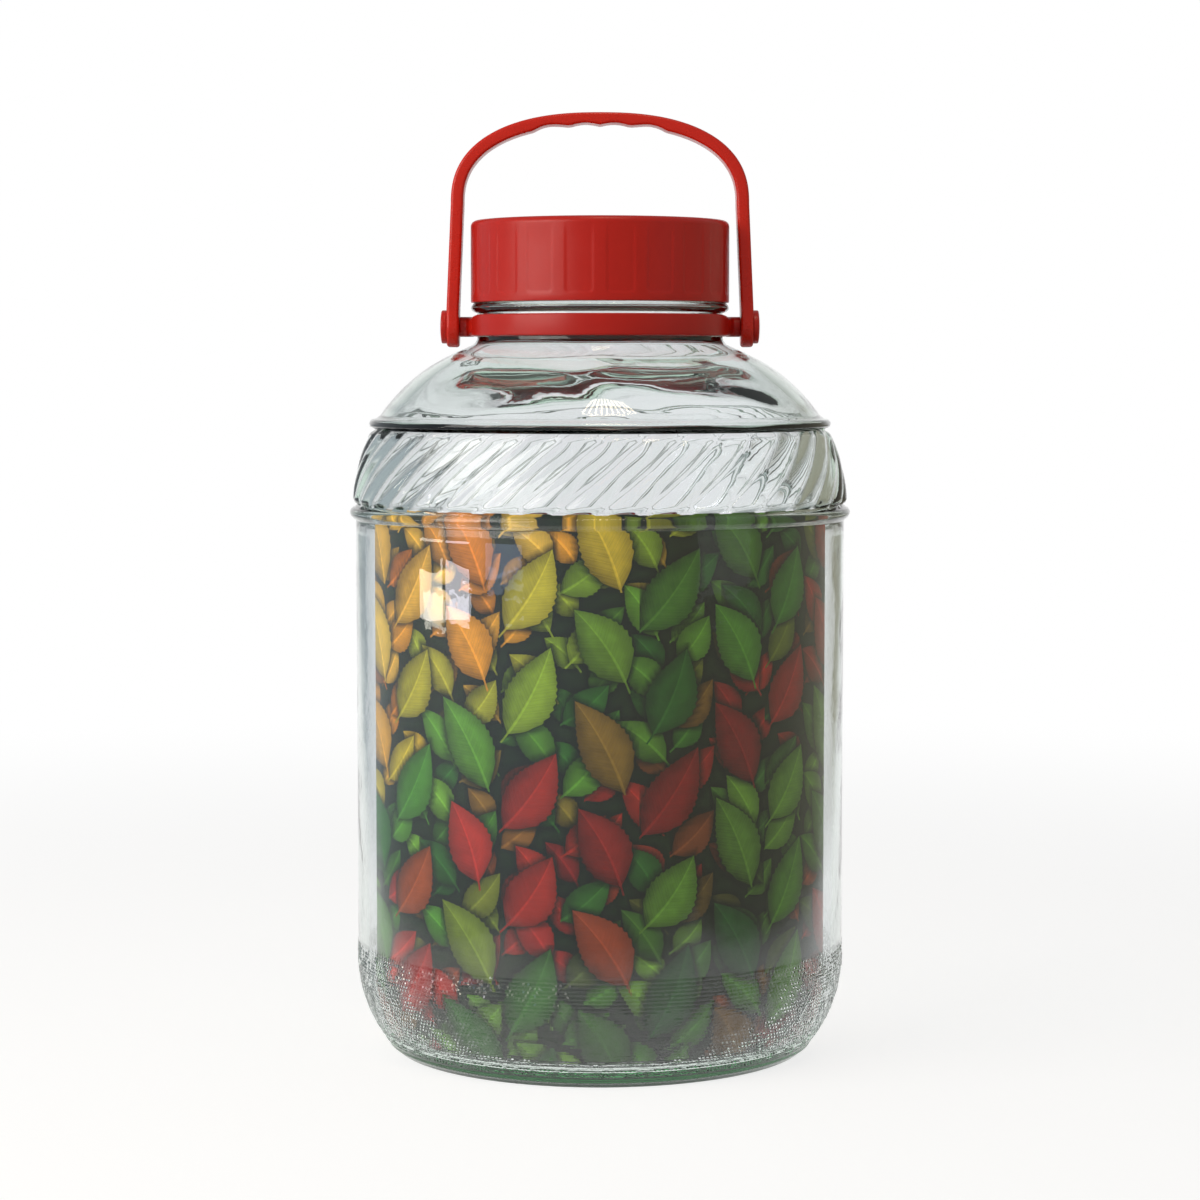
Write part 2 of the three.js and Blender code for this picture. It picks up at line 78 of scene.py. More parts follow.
def blank_material(name):
    """A new node material with nothing in it yet."""
    material = bpy.data.materials.new(name)
    material.use_nodes = True
    material.node_tree.nodes.clear()
    return material, material.node_tree


def link_object(obj):
    """Puts a new object into the scene."""
    scene.collection.objects.link(obj)
    return obj


camera_distance = 1552
camera_height = 346.8
camera_tilt = math.radians(4.4)
camera_data = bpy.data.cameras.new("camera")
camera_data.sensor_width = 36
camera_data.lens = 91.56
camera = link_object(bpy.data.objects.new("camera", camera_data))
camera.location = (0, -camera_distance * MM, camera_height * MM)
camera.rotation_euler = (math.radians(90) - camera_tilt, 0, 0)
scene.camera = camera


def soft_light(name, size, place, target, watts, colour, in_gloss=True):
    """A rectangular lamp that faces a point on the jar."""
    data = bpy.data.lights.new(name, "AREA")
    data.shape = "RECTANGLE"
    data.size, data.size_y = (side * MM for side in size)
    data.energy = watts
    data.color = srgb(colour)[:3]
    light = link_object(bpy.data.objects.new(name, data))
    light.location = Vector(place) * MM
    aim = (Vector(target) - Vector(place)).normalized()
    light.rotation_euler = aim.to_track_quat("-Z", "Y").to_euler()
    light.visible_glossy = in_gloss


soft_light("window_near", (800, 1000), (-1150, -1200, 840), (0, 0, 250), 7.4, "#fffaf2")
soft_light("window_far", (800, 1000), (-1560, -640, 840), (0, 0, 250), 7.4, "#fffaf2")
soft_light("low_pane_near", (350, 52), (-1465, -630, 128), (-68, -103, 238), 0.46, "#fbf6ff")
soft_light("low_pane_far", (400, 52), (-1565, -228, 128), (-81, -94, 238), 0.52, "#fff6e4")
soft_light("low_sky", (480, 40), (-1094, -1160, 160), (-46, -115, 255), 0.16, "#b8ccf0")
overhead_strips = 10
strip_spacing = 42
for i in range(overhead_strips):
    across = 70 + (i - (overhead_strips - 1) / 2) * strip_spacing
    soft_light(f"overhead_{i}", (15, 390), (across, -440, 1480), (10, -106, 330), 0.19, "#ffeccc")
soft_light("fill_right", (900, 1200), (1500, -900, 700), (0, 0, 240), 1.4, "#f2f6ff", in_gloss=False)


def seen_directly(tree):
    """One where the eye, gloss or clear glass looks, nought where light is only gathered."""
    path = node(tree, "ShaderNodeLightPath").outputs
    looked_at = node(tree, MATH, path["Is Camera Ray"], path["Is Glossy Ray"], operation="MAXIMUM")
    looked_at = node(tree, MATH, looked_at, path["Is Transmission Ray"], operation="MAXIMUM")
    ungathered = node(tree, MATH, path["Diffuse Depth"], 0.5, operation="LESS_THAN")
    return node(tree, MATH, looked_at, ungathered, operation="MULTIPLY")


# The backdrop is white behind the jar. The rest of the room is grey, cool on the window's side and
# warm on the other, for glass and gloss as for the eye. Gathered light sees a dim room.
horizon_top = math.sin(math.radians(12))
ceiling_from = math.sin(math.radians(38))
ceiling_grey = srgb("#a9afae")
window_side = srgb("#a9b1b7")
warm_side = srgb("#9f9c8c")
side_reach = 0.6
straight_behind = 0.95
aside = 0.78
room_strength = 0.3
world = bpy.data.worlds.new("backdrop")
scene.world = world
world.use_nodes = True
sky = world.node_tree
sky.nodes.clear()
heading = node(sky, "ShaderNodeTexCoord").outputs["Generated"]
across, behind, rise = node(sky, "ShaderNodeSeparateXYZ", heading).outputs
sideways = node(sky, "ShaderNodeMapRange", behind, straight_behind, aside, 0.0, 1.0)
height_share = node(sky, "ShaderNodeMapRange", rise, horizon_top, ceiling_from, 0.0, 1.0)
side_share = node(sky, "ShaderNodeMapRange", across, -side_reach, side_reach, 0.0, 1.0)
walls = node(sky, "ShaderNodeMix", side_share, window_side, warm_side, data_type="RGBA")
around = node(sky, "ShaderNodeMix", sideways, srgb("#ffffff"), walls, data_type="RGBA")
backdrop_colour = node(sky, "ShaderNodeMix", height_share, around, ceiling_grey, data_type="RGBA")
backdrop = node(sky, "ShaderNodeBackground", backdrop_colour, 1.0)
room = node(sky, "ShaderNodeBackground", srgb("#f4f6f8"), room_strength)
node(sky, "ShaderNodeOutputWorld", node(sky, "ShaderNodeMixShader", seen_directly(sky), room, backdrop))

# The floor runs on into the backdrop. Looked at, it is white a metre and a half out, and nearer
# the jar it glows just enough that the lamps bring it to white, so the jar's shadow stays. Under
# the jar its glow is cut almost to nothing, a painted shadow. In front of the picture's lower edge,
# and beside the picture, it falls off to the room's greys.
floor_half = 9000
shadow_ends = 450
all_white_from = 1500
under_jar = 66
clear_of_jar = 98
glow_in_painted_shadow = 0.06
glow_in_open = 0.76
picture_edge = -312
front_greys = -480
picture_side = 0.21
side_greys = 0.36
floor_mesh = bpy.data.meshes.new("floor")
floor_mesh.from_pydata([(x * floor_half * MM, y * floor_half * MM, 0)
                        for x, y in ((-1, -1), (1, -1), (1, 1), (-1, 1))], [], [(0, 1, 2, 3)])
floor = link_object(bpy.data.objects.new("floor", floor_mesh))
floor_paint, tree = blank_material("matt_white_floor_paint")
place = node(tree, "ShaderNodeTexCoord").outputs["Object"]
from_middle = node(tree, "ShaderNodeVectorMath", place, operation="LENGTH").outputs["Value"]
far = node(tree, "ShaderNodeMapRange", from_middle, shadow_ends * MM, all_white_from * MM, 0.0, 1.0,
           interpolation_type="SMOOTHSTEP")
# Painted shadow: the floor's glow falls almost to nothing under the jar.
glow_with_painted_jar_shadow = node(tree, "ShaderNodeMapRange", from_middle, under_jar * MM, clear_of_jar * MM, glow_in_painted_shadow,
                glow_in_open, interpolation_type="SMOOTHSTEP")
across, behind, _ = node(tree, "ShaderNodeSeparateXYZ", place).outputs
frontness = node(tree, "ShaderNodeMapRange", behind, picture_edge * MM, front_greys * MM, 0.0, 1.0,
                 interpolation_type="SMOOTHSTEP")
picture_spread = node(tree, MATH, node(tree, MATH, across, operation="ABSOLUTE"),
                      node(tree, MATH, behind, camera_distance * MM, operation="ADD"), operation="DIVIDE")
sideways = node(tree, "ShaderNodeMapRange", picture_spread, picture_side, side_greys, 0.0, 1.0,
                interpolation_type="SMOOTHSTEP")
side_share = node(tree, "ShaderNodeMapRange", node(tree, MATH, across, from_middle, operation="DIVIDE"),
                  -side_reach, side_reach, 0.0, 1.0)
walls = node(tree, "ShaderNodeMix", side_share, window_side, warm_side, data_type="RGBA")
outside_picture = node(tree, MATH, frontness, sideways, operation="MAXIMUM")
sheet = node(tree, "ShaderNodeMix", outside_picture, srgb("#ffffff"), walls, data_type="RGBA")
near_paint = node(tree, "ShaderNodeMix", outside_picture, srgb("#a6a6a5"), srgb("#4c4d4c"), data_type="RGBA")
paint = node(tree, "ShaderNodeBsdfDiffuse", srgb("#d9d9d7"))
lit = node(tree, "ShaderNodeAddShader", node(tree, "ShaderNodeBsdfDiffuse", near_paint),
           node(tree, "ShaderNodeEmission", sheet, glow_with_painted_jar_shadow))
near_or_far = node(tree, "ShaderNodeMixShader", far, lit, node(tree, "ShaderNodeEmission", sheet, 1.0))
node(tree, "ShaderNodeOutputMaterial",
     node(tree, "ShaderNodeMixShader", seen_directly(tree), paint, near_or_far))
floor_mesh.materials.append(floor_paint)

# GLASS JAR
# One pressed and blown jar of clear soda-lime glass with a faint green tint. The mould gives it
# a stippled heel, two hoops with a band of slanting flutes between them, a domed shoulder, a
# groove and bead for the collar, and a neck with a single-start thread.
body_radius = 123.8
glass_wall = 4.5
heel_radius = 68
heel_height = 47
heel_centre = (body_radius - heel_radius, heel_height)
foot_radius = heel_centre[0] + math.sqrt(heel_radius ** 2 - heel_height ** 2)
foot_width = 9
foot_edge_step = 1.2
push_up = 2.5
floor_thickness = 7
floor_corner_radius = 10
smooth_wall_start = 13
straight_top = 262
lower_hoop_height = 272.8
lower_hoop_section = 3
lower_hoop_fillet = 1.2
upper_hoop_section = 2.6
upper_hoop_height = lower_hoop_height + 44.5
upper_hoop_inset = 9.5
band_bottom = lower_hoop_height + lower_hoop_section + 1.2
band_top = upper_hoop_height - upper_hoop_section - 0.3
band_arc_radius = 94
crest_radius = body_radius + 1.8
flute_count = 38
flute_depth = 2
flute_cover = 0.3
flute_twist = math.radians(20.8)
flute_end_length = 2.6
flute_hollowness = 0.75
shoulder_radius = 89.6
shoulder_centre = (37.23, 271.14)
shoulder_start_angle = math.radians(34.3)
inner_band_angle = math.radians(16)
inner_dome_angle = math.radians(40)
neck_radius = 62.2
neck_flare = 10.6
neck_fillet_radius = 4.5
groove_height = 12.1
bead_proud = 3.1
bead_height = 5.2
finish_radius = 61
finish_height = 36.5
rim_round = 1.5
inner_neck_round = 6
mouth_radius = finish_radius - glass_wall
thread_pitch = 8
thread_turns = 1.5
thread_height = 1.7
thread_root_width = 3.8
thread_crest_width = 1.6
thread_start = 9.6
thread_runout = 1 / 7
thread_row = 0.7
hoop_wall_foot = (110.9, 313.2)
hoop_wall_top = (105.7, 318.6)
lean_below_hoop = math.radians(26)
lean_at_hoop = math.radians(44)
lean_above_hoop = math.radians(42)
shoulder_wall = 6
shoulder_swell = 3
thickest_share = 0.7
thinning = 1.2
thickening_ease = 1.5
thick_sides = (0.42, 0.72)
ripple_swell = 4.2
ripple_length = 50
ripple_stretch = 2.4
ripple_start = (0.13, 0.37, 0.0)
ripple_distortion = 1.2
ripple_fade = 12
neck_clear = 4
neck_fade = 8
wave_length = 32
fine_wave_length = 11
fine_wave_share = 0.35
wave_height = 0.2
green_per_metre = 42.0
underside_roughness = 0.3
stipple_row = 1.9
stipple_rise = 0.42
stipple_rows = (-24, 4.5)
stipple_patch = 4
stipple_uneven = (0.35, 1.25)
stipple_fade = 4
joint_rise = 0.7
joint_half_width = 1.5
joint_gap = 2
joint_scallop = 0.25
outside_segments = flute_count * 9
heel_segments = outside_segments * 2
inside_segments = outside_segments // 2
stipple_dots = heel_segments // 2
quarter = math.pi / 2


def arc(centre, radius, start, end, steps):
    """Points [radius, height] along an arc in the section of a turned piece."""
    angles = np.linspace(start, end, steps + 1)
    return [(centre[0] + radius * math.cos(a), centre[1] + radius * math.sin(a)) for a in angles]


def fillet(before, corner, after, radius, steps):
    """The corner between two straight lines, rounded."""
    point = Vector(corner)
    back = (Vector(before) - point).normalized()
    onward = (Vector(after) - point).normalized()
    half = back.angle(onward) / 2
    centre = point + (back + onward).normalized() * radius / math.sin(half)
    first = point + back * radius / math.tan(half) - centre
    last = point + onward * radius / math.tan(half) - centre
    start = math.atan2(first.y, first.x)
    turned = (math.atan2(last.y, last.x) - start + math.pi) % (2 * math.pi) - math.pi
    return arc(centre, radius, start, start + turned, steps)


def crest(height):
    """Radius of the flute crests at a height."""
    rise = height - lower_hoop_height
    return crest_radius - band_arc_radius + math.sqrt(band_arc_radius ** 2 - rise ** 2)


def heel_point(climb):
    """The point of the heel, or of the wall above it, at a length along the section."""
    angle = min(climb, 0) / heel_radius
    return (heel_centre[0] + heel_radius * math.cos(angle),
            heel_height + heel_radius * math.sin(angle) + max(climb, 0))


upper_hoop_centre = (body_radius - upper_hoop_inset, upper_hoop_height)
shoulder_end_angle = math.acos((neck_radius + neck_flare - shoulder_centre[0]) / shoulder_radius)
shoulder_end = (neck_radius + neck_flare,
                shoulder_centre[1] + shoulder_radius * math.sin(shoulder_end_angle))
neck_corner = (neck_radius, shoulder_end[1] + neck_flare / math.tan(shoulder_end_angle))
groove_bottom = neck_corner[1] + neck_fillet_radius * math.tan(shoulder_end_angle / 2)
bead_centre = groove_bottom + groove_height + bead_height / 2
finish_bottom = bead_centre + bead_height / 2
rim_height = finish_bottom + finish_height
finish_top = rim_height - rim_round
thread_bottom = finish_bottom + thread_start
floor_height = push_up + floor_thickness


def base_section():
    """The underside: the pushed-up middle, out to the inner edge of the flat ring that stands."""
    foot_inner = foot_radius - foot_width
    punt_radius = (foot_inner ** 2 + push_up ** 2) / (2 * push_up)
    punt_half = math.asin(foot_inner / punt_radius)
    return arc((0, push_up - punt_radius), punt_radius, quarter, quarter - punt_half, 8)


def wall_section():
    """The outside of the wall from above the stipple to the inner edge of the rim."""
    hoop_foot = lower_hoop_height - lower_hoop_section
    points = [(body_radius, height)
              for height in np.linspace(heel_height + smooth_wall_start, straight_top, 6)]
    points += fillet((body_radius, straight_top), (body_radius, hoop_foot), (body_radius + 2, hoop_foot),
                     lower_hoop_fillet, 3)
    points += arc((body_radius, lower_hoop_height), lower_hoop_section, -quarter * 0.7, quarter * 0.85, 8)
    points += [(crest(height), height) for height in np.linspace(band_bottom, band_top, 31)]
    points += arc(upper_hoop_centre, upper_hoop_section, -quarter / 3, quarter * 1.1, 7)
    points += arc(shoulder_centre, shoulder_radius, shoulder_start_angle, shoulder_end_angle, 16)
    points += fillet(shoulder_end, neck_corner, (neck_radius, rim_height), neck_fillet_radius, 5)
    bead = arc((neck_radius, bead_centre), bead_height / 2, -quarter, quarter, 8)[:-1]
    points += [(neck_radius + (radius - neck_radius) * bead_proud / (bead_height / 2), height)
               for radius, height in bead]
    low = thread_bottom - thread_root_width / 2 - thread_row
    high = thread_bottom + thread_pitch * thread_turns + thread_root_width / 2 + thread_row
    points += [(finish_radius, height) for height in (finish_bottom, *np.arange(low, high, thread_row))]
    return points + arc((finish_radius - rim_round, finish_top), rim_round, 0, quarter, 4)


def sweep(start, start_angle, end, end_angle, steps):
    """A smooth curve between two points, along a heading at each."""
    start, end = Vector(start), Vector(end)
    reach = (end - start).length
    leave = Vector((math.cos(start_angle), math.sin(start_angle))) * reach
    arrive = Vector((math.cos(end_angle), math.sin(end_angle))) * reach
    return [tuple(start * (1 + 2 * t) * (1 - t) ** 2 + leave * t * (1 - t) ** 2 +
                  end * t * t * (3 - 2 * t) + arrive * t * t * (t - 1)) for t in np.linspace(0, 1, steps + 1)]


def cavity_section():
    """The inside of the wall, from the middle of the floor up to the rim."""
    inner_heel = heel_radius - glass_wall
    meets_floor = -math.asin((heel_height - floor_height) / inner_heel)
    floor_edge = heel_centre[0] + inner_heel * math.cos(meets_floor)
    up_the_heel = (floor_edge - floor_corner_radius * math.sin(meets_floor),
                   floor_height + floor_corner_radius * math.cos(meets_floor))
    band_centre = (crest_radius - flute_depth - band_arc_radius, lower_hoop_height)
    band_end = arc(band_centre, band_arc_radius - glass_wall, inner_band_angle, inner_band_angle, 1)[0]
    dome = arc(shoulder_centre, shoulder_radius - shoulder_wall, inner_dome_angle, shoulder_end_angle, 14)
    points = [(0, floor_height), (40, floor_height)]
    points += fillet((0, floor_height), (floor_edge, floor_height), up_the_heel, floor_corner_radius, 6)
    points += arc(heel_centre, inner_heel, meets_floor * 0.75, 0, 10)
    points += [(body_radius - glass_wall, height) for height in np.linspace(heel_height, straight_top, 5)[1:]]
    points += arc(band_centre, band_arc_radius - glass_wall, 0, inner_band_angle, 6)
    points += sweep(band_end, inner_band_angle + quarter, hoop_wall_foot, lean_below_hoop + quarter, 6)[1:]
    points += sweep(hoop_wall_foot, lean_at_hoop + quarter, hoop_wall_top, lean_at_hoop + quarter, 3)[1:-1]
    points += sweep(hoop_wall_top, lean_above_hoop + quarter, dome[0], inner_dome_angle + quarter, 4)[:-1]
    points += dome
    points += fillet(points[-1], (mouth_radius, groove_bottom), (mouth_radius, rim_height),
                     inner_neck_round, 4)
    return points + arc((mouth_radius + rim_round, finish_top), rim_round, 2 * quarter, quarter, 4)


def outwards(points, faces):
    """The faces, all turned over if they enclose a negative volume."""
    fans = np.array([(face[0], face[k], face[k + 1]) for face in faces for k in range(1, len(face) - 1)])
    a, b, c = (points[fans[:, i]] for i in range(3))
    volume = np.einsum("ij,ij->i", a, np.cross(b, c)).sum()
    return faces if volume > 0 else [face[::-1] for face in faces]


def mesh_object(name, points, faces, sharp_degrees):
    """A closed piece at the origin with its place in its mesh, smooth but for sharp edges."""
    points = np.array(points, float)
    mesh = bpy.data.meshes.new(name)
    mesh.from_pydata((points * MM).tolist(), [], outwards(points, faces))
    smooth(mesh, sharp_degrees)
    return link_object(bpy.data.objects.new(name, mesh))


def smooth(mesh, sharp_degrees):
    """Shades a mesh smooth, but for edges sharper than an angle."""
    mesh.polygons.foreach_set("use_smooth", [True] * len(mesh.polygons))
    mesh.set_sharp_from_angle(angle=math.radians(sharp_degrees))


def revolved(name, outline, sharp_degrees=40):
    """A closed mesh turned round Z from rows of (radius, height, segments). A row's segments may
    be a whole multiple of the next row's, or the other way round."""
    points, rings = [], []
    for radius, height, segments in outline:
        first = len(points)
        if radius < 1e-6:
            points.append((0, 0, height))
            rings.append([first])
        else:
            angles = np.arange(segments) * 2 * math.pi / segments
            points.extend((radius * math.cos(a), radius * math.sin(a), height) for a in angles)
            rings.append(list(range(first, first + segments)))
    ends_on_axis = len(rings[0]) == 1
    faces = []
    for low, high in zip(rings, rings[1:] + ([] if ends_on_axis else rings[:1])):
        shared = max(1, min(len(low), len(high)))
        if shared == 1:
            shared = max(len(low), len(high))
        for i in range(shared):
            face = []
            for ring, way in ((low, 1), (high, -1)):
                step = len(ring) // shared
                along = [ring[(i * step + k) % len(ring)] for k in range(step + 1)] if step else ring[:1]
                face += along[::way]
            faces.append(face)
    return mesh_object(name, points, faces, sharp_degrees)


def shape_tree(name, inputs, outputs):
    """An empty geometry tree with named inputs and outputs: the tree, its given sockets and
    its output node."""
    tree = bpy.data.node_groups.new(name, "GeometryNodeTree")
    for way, sockets in (("INPUT", inputs), ("OUTPUT", outputs)):
        for label, kind in sockets.items():
            tree.interface.new_socket(label, in_out=way, socket_type=f"NodeSocket{kind}")
    return tree, node(tree, "NodeGroupInput").outputs, node(tree, "NodeGroupOutput")


def shape_with(obj, tree, values, sharp_degrees):
    """Runs a geometry tree on an object with its named values and keeps the plain mesh."""
    modifier = obj.modifiers.new(tree.name, "NODES")
    modifier.node_group = tree
    for item in tree.interface.items_tree:
        if item.in_out == "INPUT" and item.name in values:
            modifier[item.identifier] = values[item.name]
    shaped = obj.evaluated_get(bpy.context.evaluated_depsgraph_get())
    mesh = bpy.data.meshes.new_from_object(shaped)
    obj.modifiers.remove(modifier)
    obj.data = mesh
    smooth(mesh, sharp_degrees)


thread_sizes = ("Thread Start", "Thread Pitch", "Thread Turns", "Thread Height", "Root Width", "Crest Width",
                "Run-out")


def thread_rise():
    """How far a screw thread lifts a turned wall at each point: a ridge with sloping flanks
    that climbs with the angle and runs out to nothing at both ends."""
    tree, value, result = shape_tree("thread_rise", {size: "Float" for size in thread_sizes},
                                     {"Rise": "Float"})
    x, y, z = node(tree, "ShaderNodeSeparateXYZ", node(tree, "GeometryNodeInputPosition")).outputs
    turned = node(tree, MATH, node(tree, MATH, y, x, operation="ARCTAN2"), 2 * math.pi, operation="DIVIDE")
    climb = node(tree, MATH, z, value["Thread Start"], operation="SUBTRACT")
    climbed = node(tree, MATH, climb, value["Thread Pitch"], operation="DIVIDE")
    winding = node(tree, MATH, node(tree, MATH, climbed, turned, operation="SUBTRACT"), operation="ROUND")
    along = node(tree, MATH, winding, turned, operation="ADD")
    apart = node(tree, MATH, node(tree, MATH, climbed, along, operation="SUBTRACT"), operation="ABSOLUTE")
    apart = node(tree, MATH, apart, value["Thread Pitch"], operation="MULTIPLY")
    root = node(tree, MATH, value["Root Width"], 2.0, operation="DIVIDE")
    top = node(tree, MATH, value["Crest Width"], 2.0, operation="DIVIDE")
    ridge = node(tree, "ShaderNodeMapRange", apart, root, top, 0.0, 1.0)
    left = node(tree, MATH, value["Thread Turns"], along, operation="SUBTRACT")
    to_end = node(tree, MATH, along, left, operation="MINIMUM")
    fade = node(tree, "ShaderNodeMapRange", to_end, 0.0, value["Run-out"], 0.0, 1.0)
    shape = node(tree, MATH, ridge, fade, operation="MULTIPLY")
    rise = node(tree, MATH, shape, value["Thread Height"], operation="MULTIPLY")
    tree.links.new(rise.outputs[0], result.inputs[0])
    return tree


def pressed_pattern(thread):
    """The mould's work on the turned glass: slanting flutes round the band, which end in
    scallops, uneven staggered beads on the heel, a scalloped ridge under them where the base
    plate met the mould, and the thread on the neck. The inside of the shoulder met only the
    blown air, so at the front and back it is wavy, and thicker towards the neck."""
    sizes = ("Flute Count", "Flute Depth", "Flute Cover", "Twist", "Band Bottom", "Band Top", "End Length",
             "Bead Count", "Bead Row", "Bead Rise", "Joint Rise", *thread_sizes, "Ripple", "Ripple Length",
             "Shoulder Swell")
    tree, value, result = shape_tree("pressed_pattern", {
        "Geometry": "Geometry", **{size: "Float" for size in sizes}, "Glass": "Material",
    }, {"Geometry": "Geometry"})
    at = {name: node(tree, "GeometryNodeInputNamedAttribute", name, data_type="FLOAT")
          for name in ("on_band", "on_finish", "heel_climb", "on_heel", "on_joint", "inner_shoulder",
                       "thicker_wall")}

    # The points of the band are twisted, so that the mesh's own columns lie along the flutes.
    place = node(tree, "GeometryNodeInputPosition")
    height = node(tree, "ShaderNodeSeparateXYZ", place).outputs["Z"]
    share = node(tree, "ShaderNodeMapRange", height, value["Band Bottom"], value["Band Top"], 0.0, 1.0)
    turn = node(tree, MATH, share, value["Twist"], operation="MULTIPLY")
    twisted = node(tree, "ShaderNodeVectorRotate", rotation_type="Z_AXIS",
                   named={"Vector": place, "Angle": turn})
    leaning = node(tree, "GeometryNodeSetPosition",
                   named={"Geometry": value["Geometry"], "Position": twisted})

    # Flutes: hollows between narrow crests, which deepen to one smooth fall at both ends.
    x, y, z = node(tree, "ShaderNodeSeparateXYZ", node(tree, "GeometryNodeInputPosition")).outputs
    angle = node(tree, MATH, y, x, operation="ARCTAN2")
    share = node(tree, "ShaderNodeMapRange", z, value["Band Bottom"], value["Band Top"], 0.0, 1.0)
    turn = node(tree, MATH, share, value["Twist"], operation="MULTIPLY")
    straight = node(tree, MATH, angle, turn, operation="SUBTRACT")
    half_count = node(tree, MATH, value["Flute Count"], 2.0, operation="DIVIDE")
    wave = node(tree, MATH, node(tree, MATH, straight, half_count, operation="MULTIPLY"), operation="COSINE")
    rib = node(tree, MATH, node(tree, MATH, wave, operation="ABSOLUTE"), flute_hollowness,
               operation="POWER")
    above = node(tree, MATH, z, value["Band Bottom"], operation="SUBTRACT")
    below = node(tree, MATH, value["Band Top"], z, operation="SUBTRACT")
    from_end = node(tree, MATH, above, below, operation="MINIMUM")
    fade = node(tree, "ShaderNodeMapRange", from_end, 0.0, value["End Length"], 1.0, 0.0)
    fall = node(tree, MATH, value["Flute Depth"], value["Flute Cover"], operation="ADD")
    end_drop = node(tree, MATH, node(tree, MATH, fade, 2.0, operation="POWER"), fall, operation="MULTIPLY")
    valley = node(tree, MATH, node(tree, MATH, 1.0, rib, operation="SUBTRACT"), value["Flute Depth"],
                  operation="MULTIPLY")
    sunk = node(tree, MATH, node(tree, MATH, valley, end_drop, operation="ADD"), fall, operation="MINIMUM")
    flutes = node(tree, MATH, sunk, at["on_band"], operation="MULTIPLY")

    thread_ridge = node(tree, "GeometryNodeGroup", *(value[size] for size in thread_sizes), node_tree=thread)
    ridge = node(tree, MATH, thread_ridge, at["on_finish"], operation="MULTIPLY")
    flat = node(tree, "ShaderNodeCombineXYZ", x, y, 0.0)
    outward = node(tree, "ShaderNodeVectorMath", flat, operation="NORMALIZE")
    radial = node(tree, "ShaderNodeVectorMath", outward,
                  node(tree, MATH, ridge, flutes, operation="SUBTRACT"), operation="SCALE")

    # Beads: the raised halves of a chequered wave, higher in some patches than in others.
    row_phase = node(tree, MATH, at["heel_climb"],
                     node(tree, MATH, math.pi, value["Bead Row"], operation="DIVIDE"), operation="MULTIPLY")
    upward = node(tree, MATH, row_phase, operation="COSINE")
    across = node(tree, MATH, node(tree, MATH, angle, value["Bead Count"], operation="MULTIPLY"),
                  operation="COSINE")
    bead = node(tree, MATH, node(tree, MATH, across, upward, operation="MULTIPLY"), 0.0, operation="MAXIMUM")
    chance = node(tree, "ShaderNodeTexNoise",
                  named={"Vector": place, "Scale": 1 / (stipple_patch * MM), "Detail": 1.0})
    uneven = node(tree, "ShaderNodeMapRange", chance, 0.35, 0.65, *stipple_uneven)
    lift = node(tree, MATH, node(tree, MATH, bead, at["on_heel"], operation="MULTIPLY"),
                node(tree, MATH, value["Bead Rise"], uneven, operation="MULTIPLY"), operation="MULTIPLY")
    scalloped = node(tree, MATH, across, joint_scallop, 1 - joint_scallop, operation="MULTIPLY_ADD")
    joint = node(tree, MATH, node(tree, MATH, at["on_joint"], scalloped, operation="MULTIPLY"),
                 value["Joint Rise"], operation="MULTIPLY")
    lift = node(tree, MATH, lift, joint, operation="ADD")
    beads = node(tree, "ShaderNodeVectorMath", node(tree, "GeometryNodeInputNormal"), lift, operation="SCALE")
    moved = node(tree, "ShaderNodeVectorMath", radial, beads, operation="ADD")

    # Waves inside the shoulder, drawn out sideways, and its thicker front and back.
    drawn_out = node(tree, "ShaderNodeVectorMath", place, (1 / ripple_stretch, 1 / ripple_stretch, 1.0),
                     ripple_start, operation="MULTIPLY_ADD")
    waves = node(tree, "ShaderNodeTexNoise",
                 named={"Vector": drawn_out, "Detail": 1.0, "Distortion": ripple_distortion,
                        "Scale": node(tree, MATH, 1.0, value["Ripple Length"], operation="DIVIDE")})
    swell = node(tree, MATH, node(tree, MATH, waves, 0.5, operation="SUBTRACT"), at["inner_shoulder"],
                 operation="MULTIPLY")
    swell = node(tree, MATH, node(tree, MATH, swell, value["Ripple"], operation="MULTIPLY"), 2.0,
                 operation="MULTIPLY")
    swell = node(tree, MATH, at["thicker_wall"], value["Shoulder Swell"], swell, operation="MULTIPLY_ADD")
    facing = node(tree, MATH, node(tree, "ShaderNodeSeparateXYZ", outward).outputs["Y"], operation="ABSOLUTE")
    facing = node(tree, "ShaderNodeMapRange", facing, *thick_sides, 0.0, 1.0, interpolation_type="SMOOTHSTEP")
    swell = node(tree, MATH, swell, facing, operation="MULTIPLY")
    blown = node(tree, "ShaderNodeVectorMath", node(tree, "GeometryNodeInputNormal"), swell,
                 operation="SCALE")
    moved = node(tree, "ShaderNodeVectorMath", moved, blown, operation="ADD")
    pressed = node(tree, "GeometryNodeSetPosition", named={"Geometry": leaning, "Offset": moved})
    real = node(tree, "GeometryNodeRealizeInstances", pressed)
    clad = node(tree, "GeometryNodeSetMaterial", named={"Geometry": real, "Material": value["Glass"]})
    tree.links.new(clad.outputs[0], result.inputs[0])
    return tree


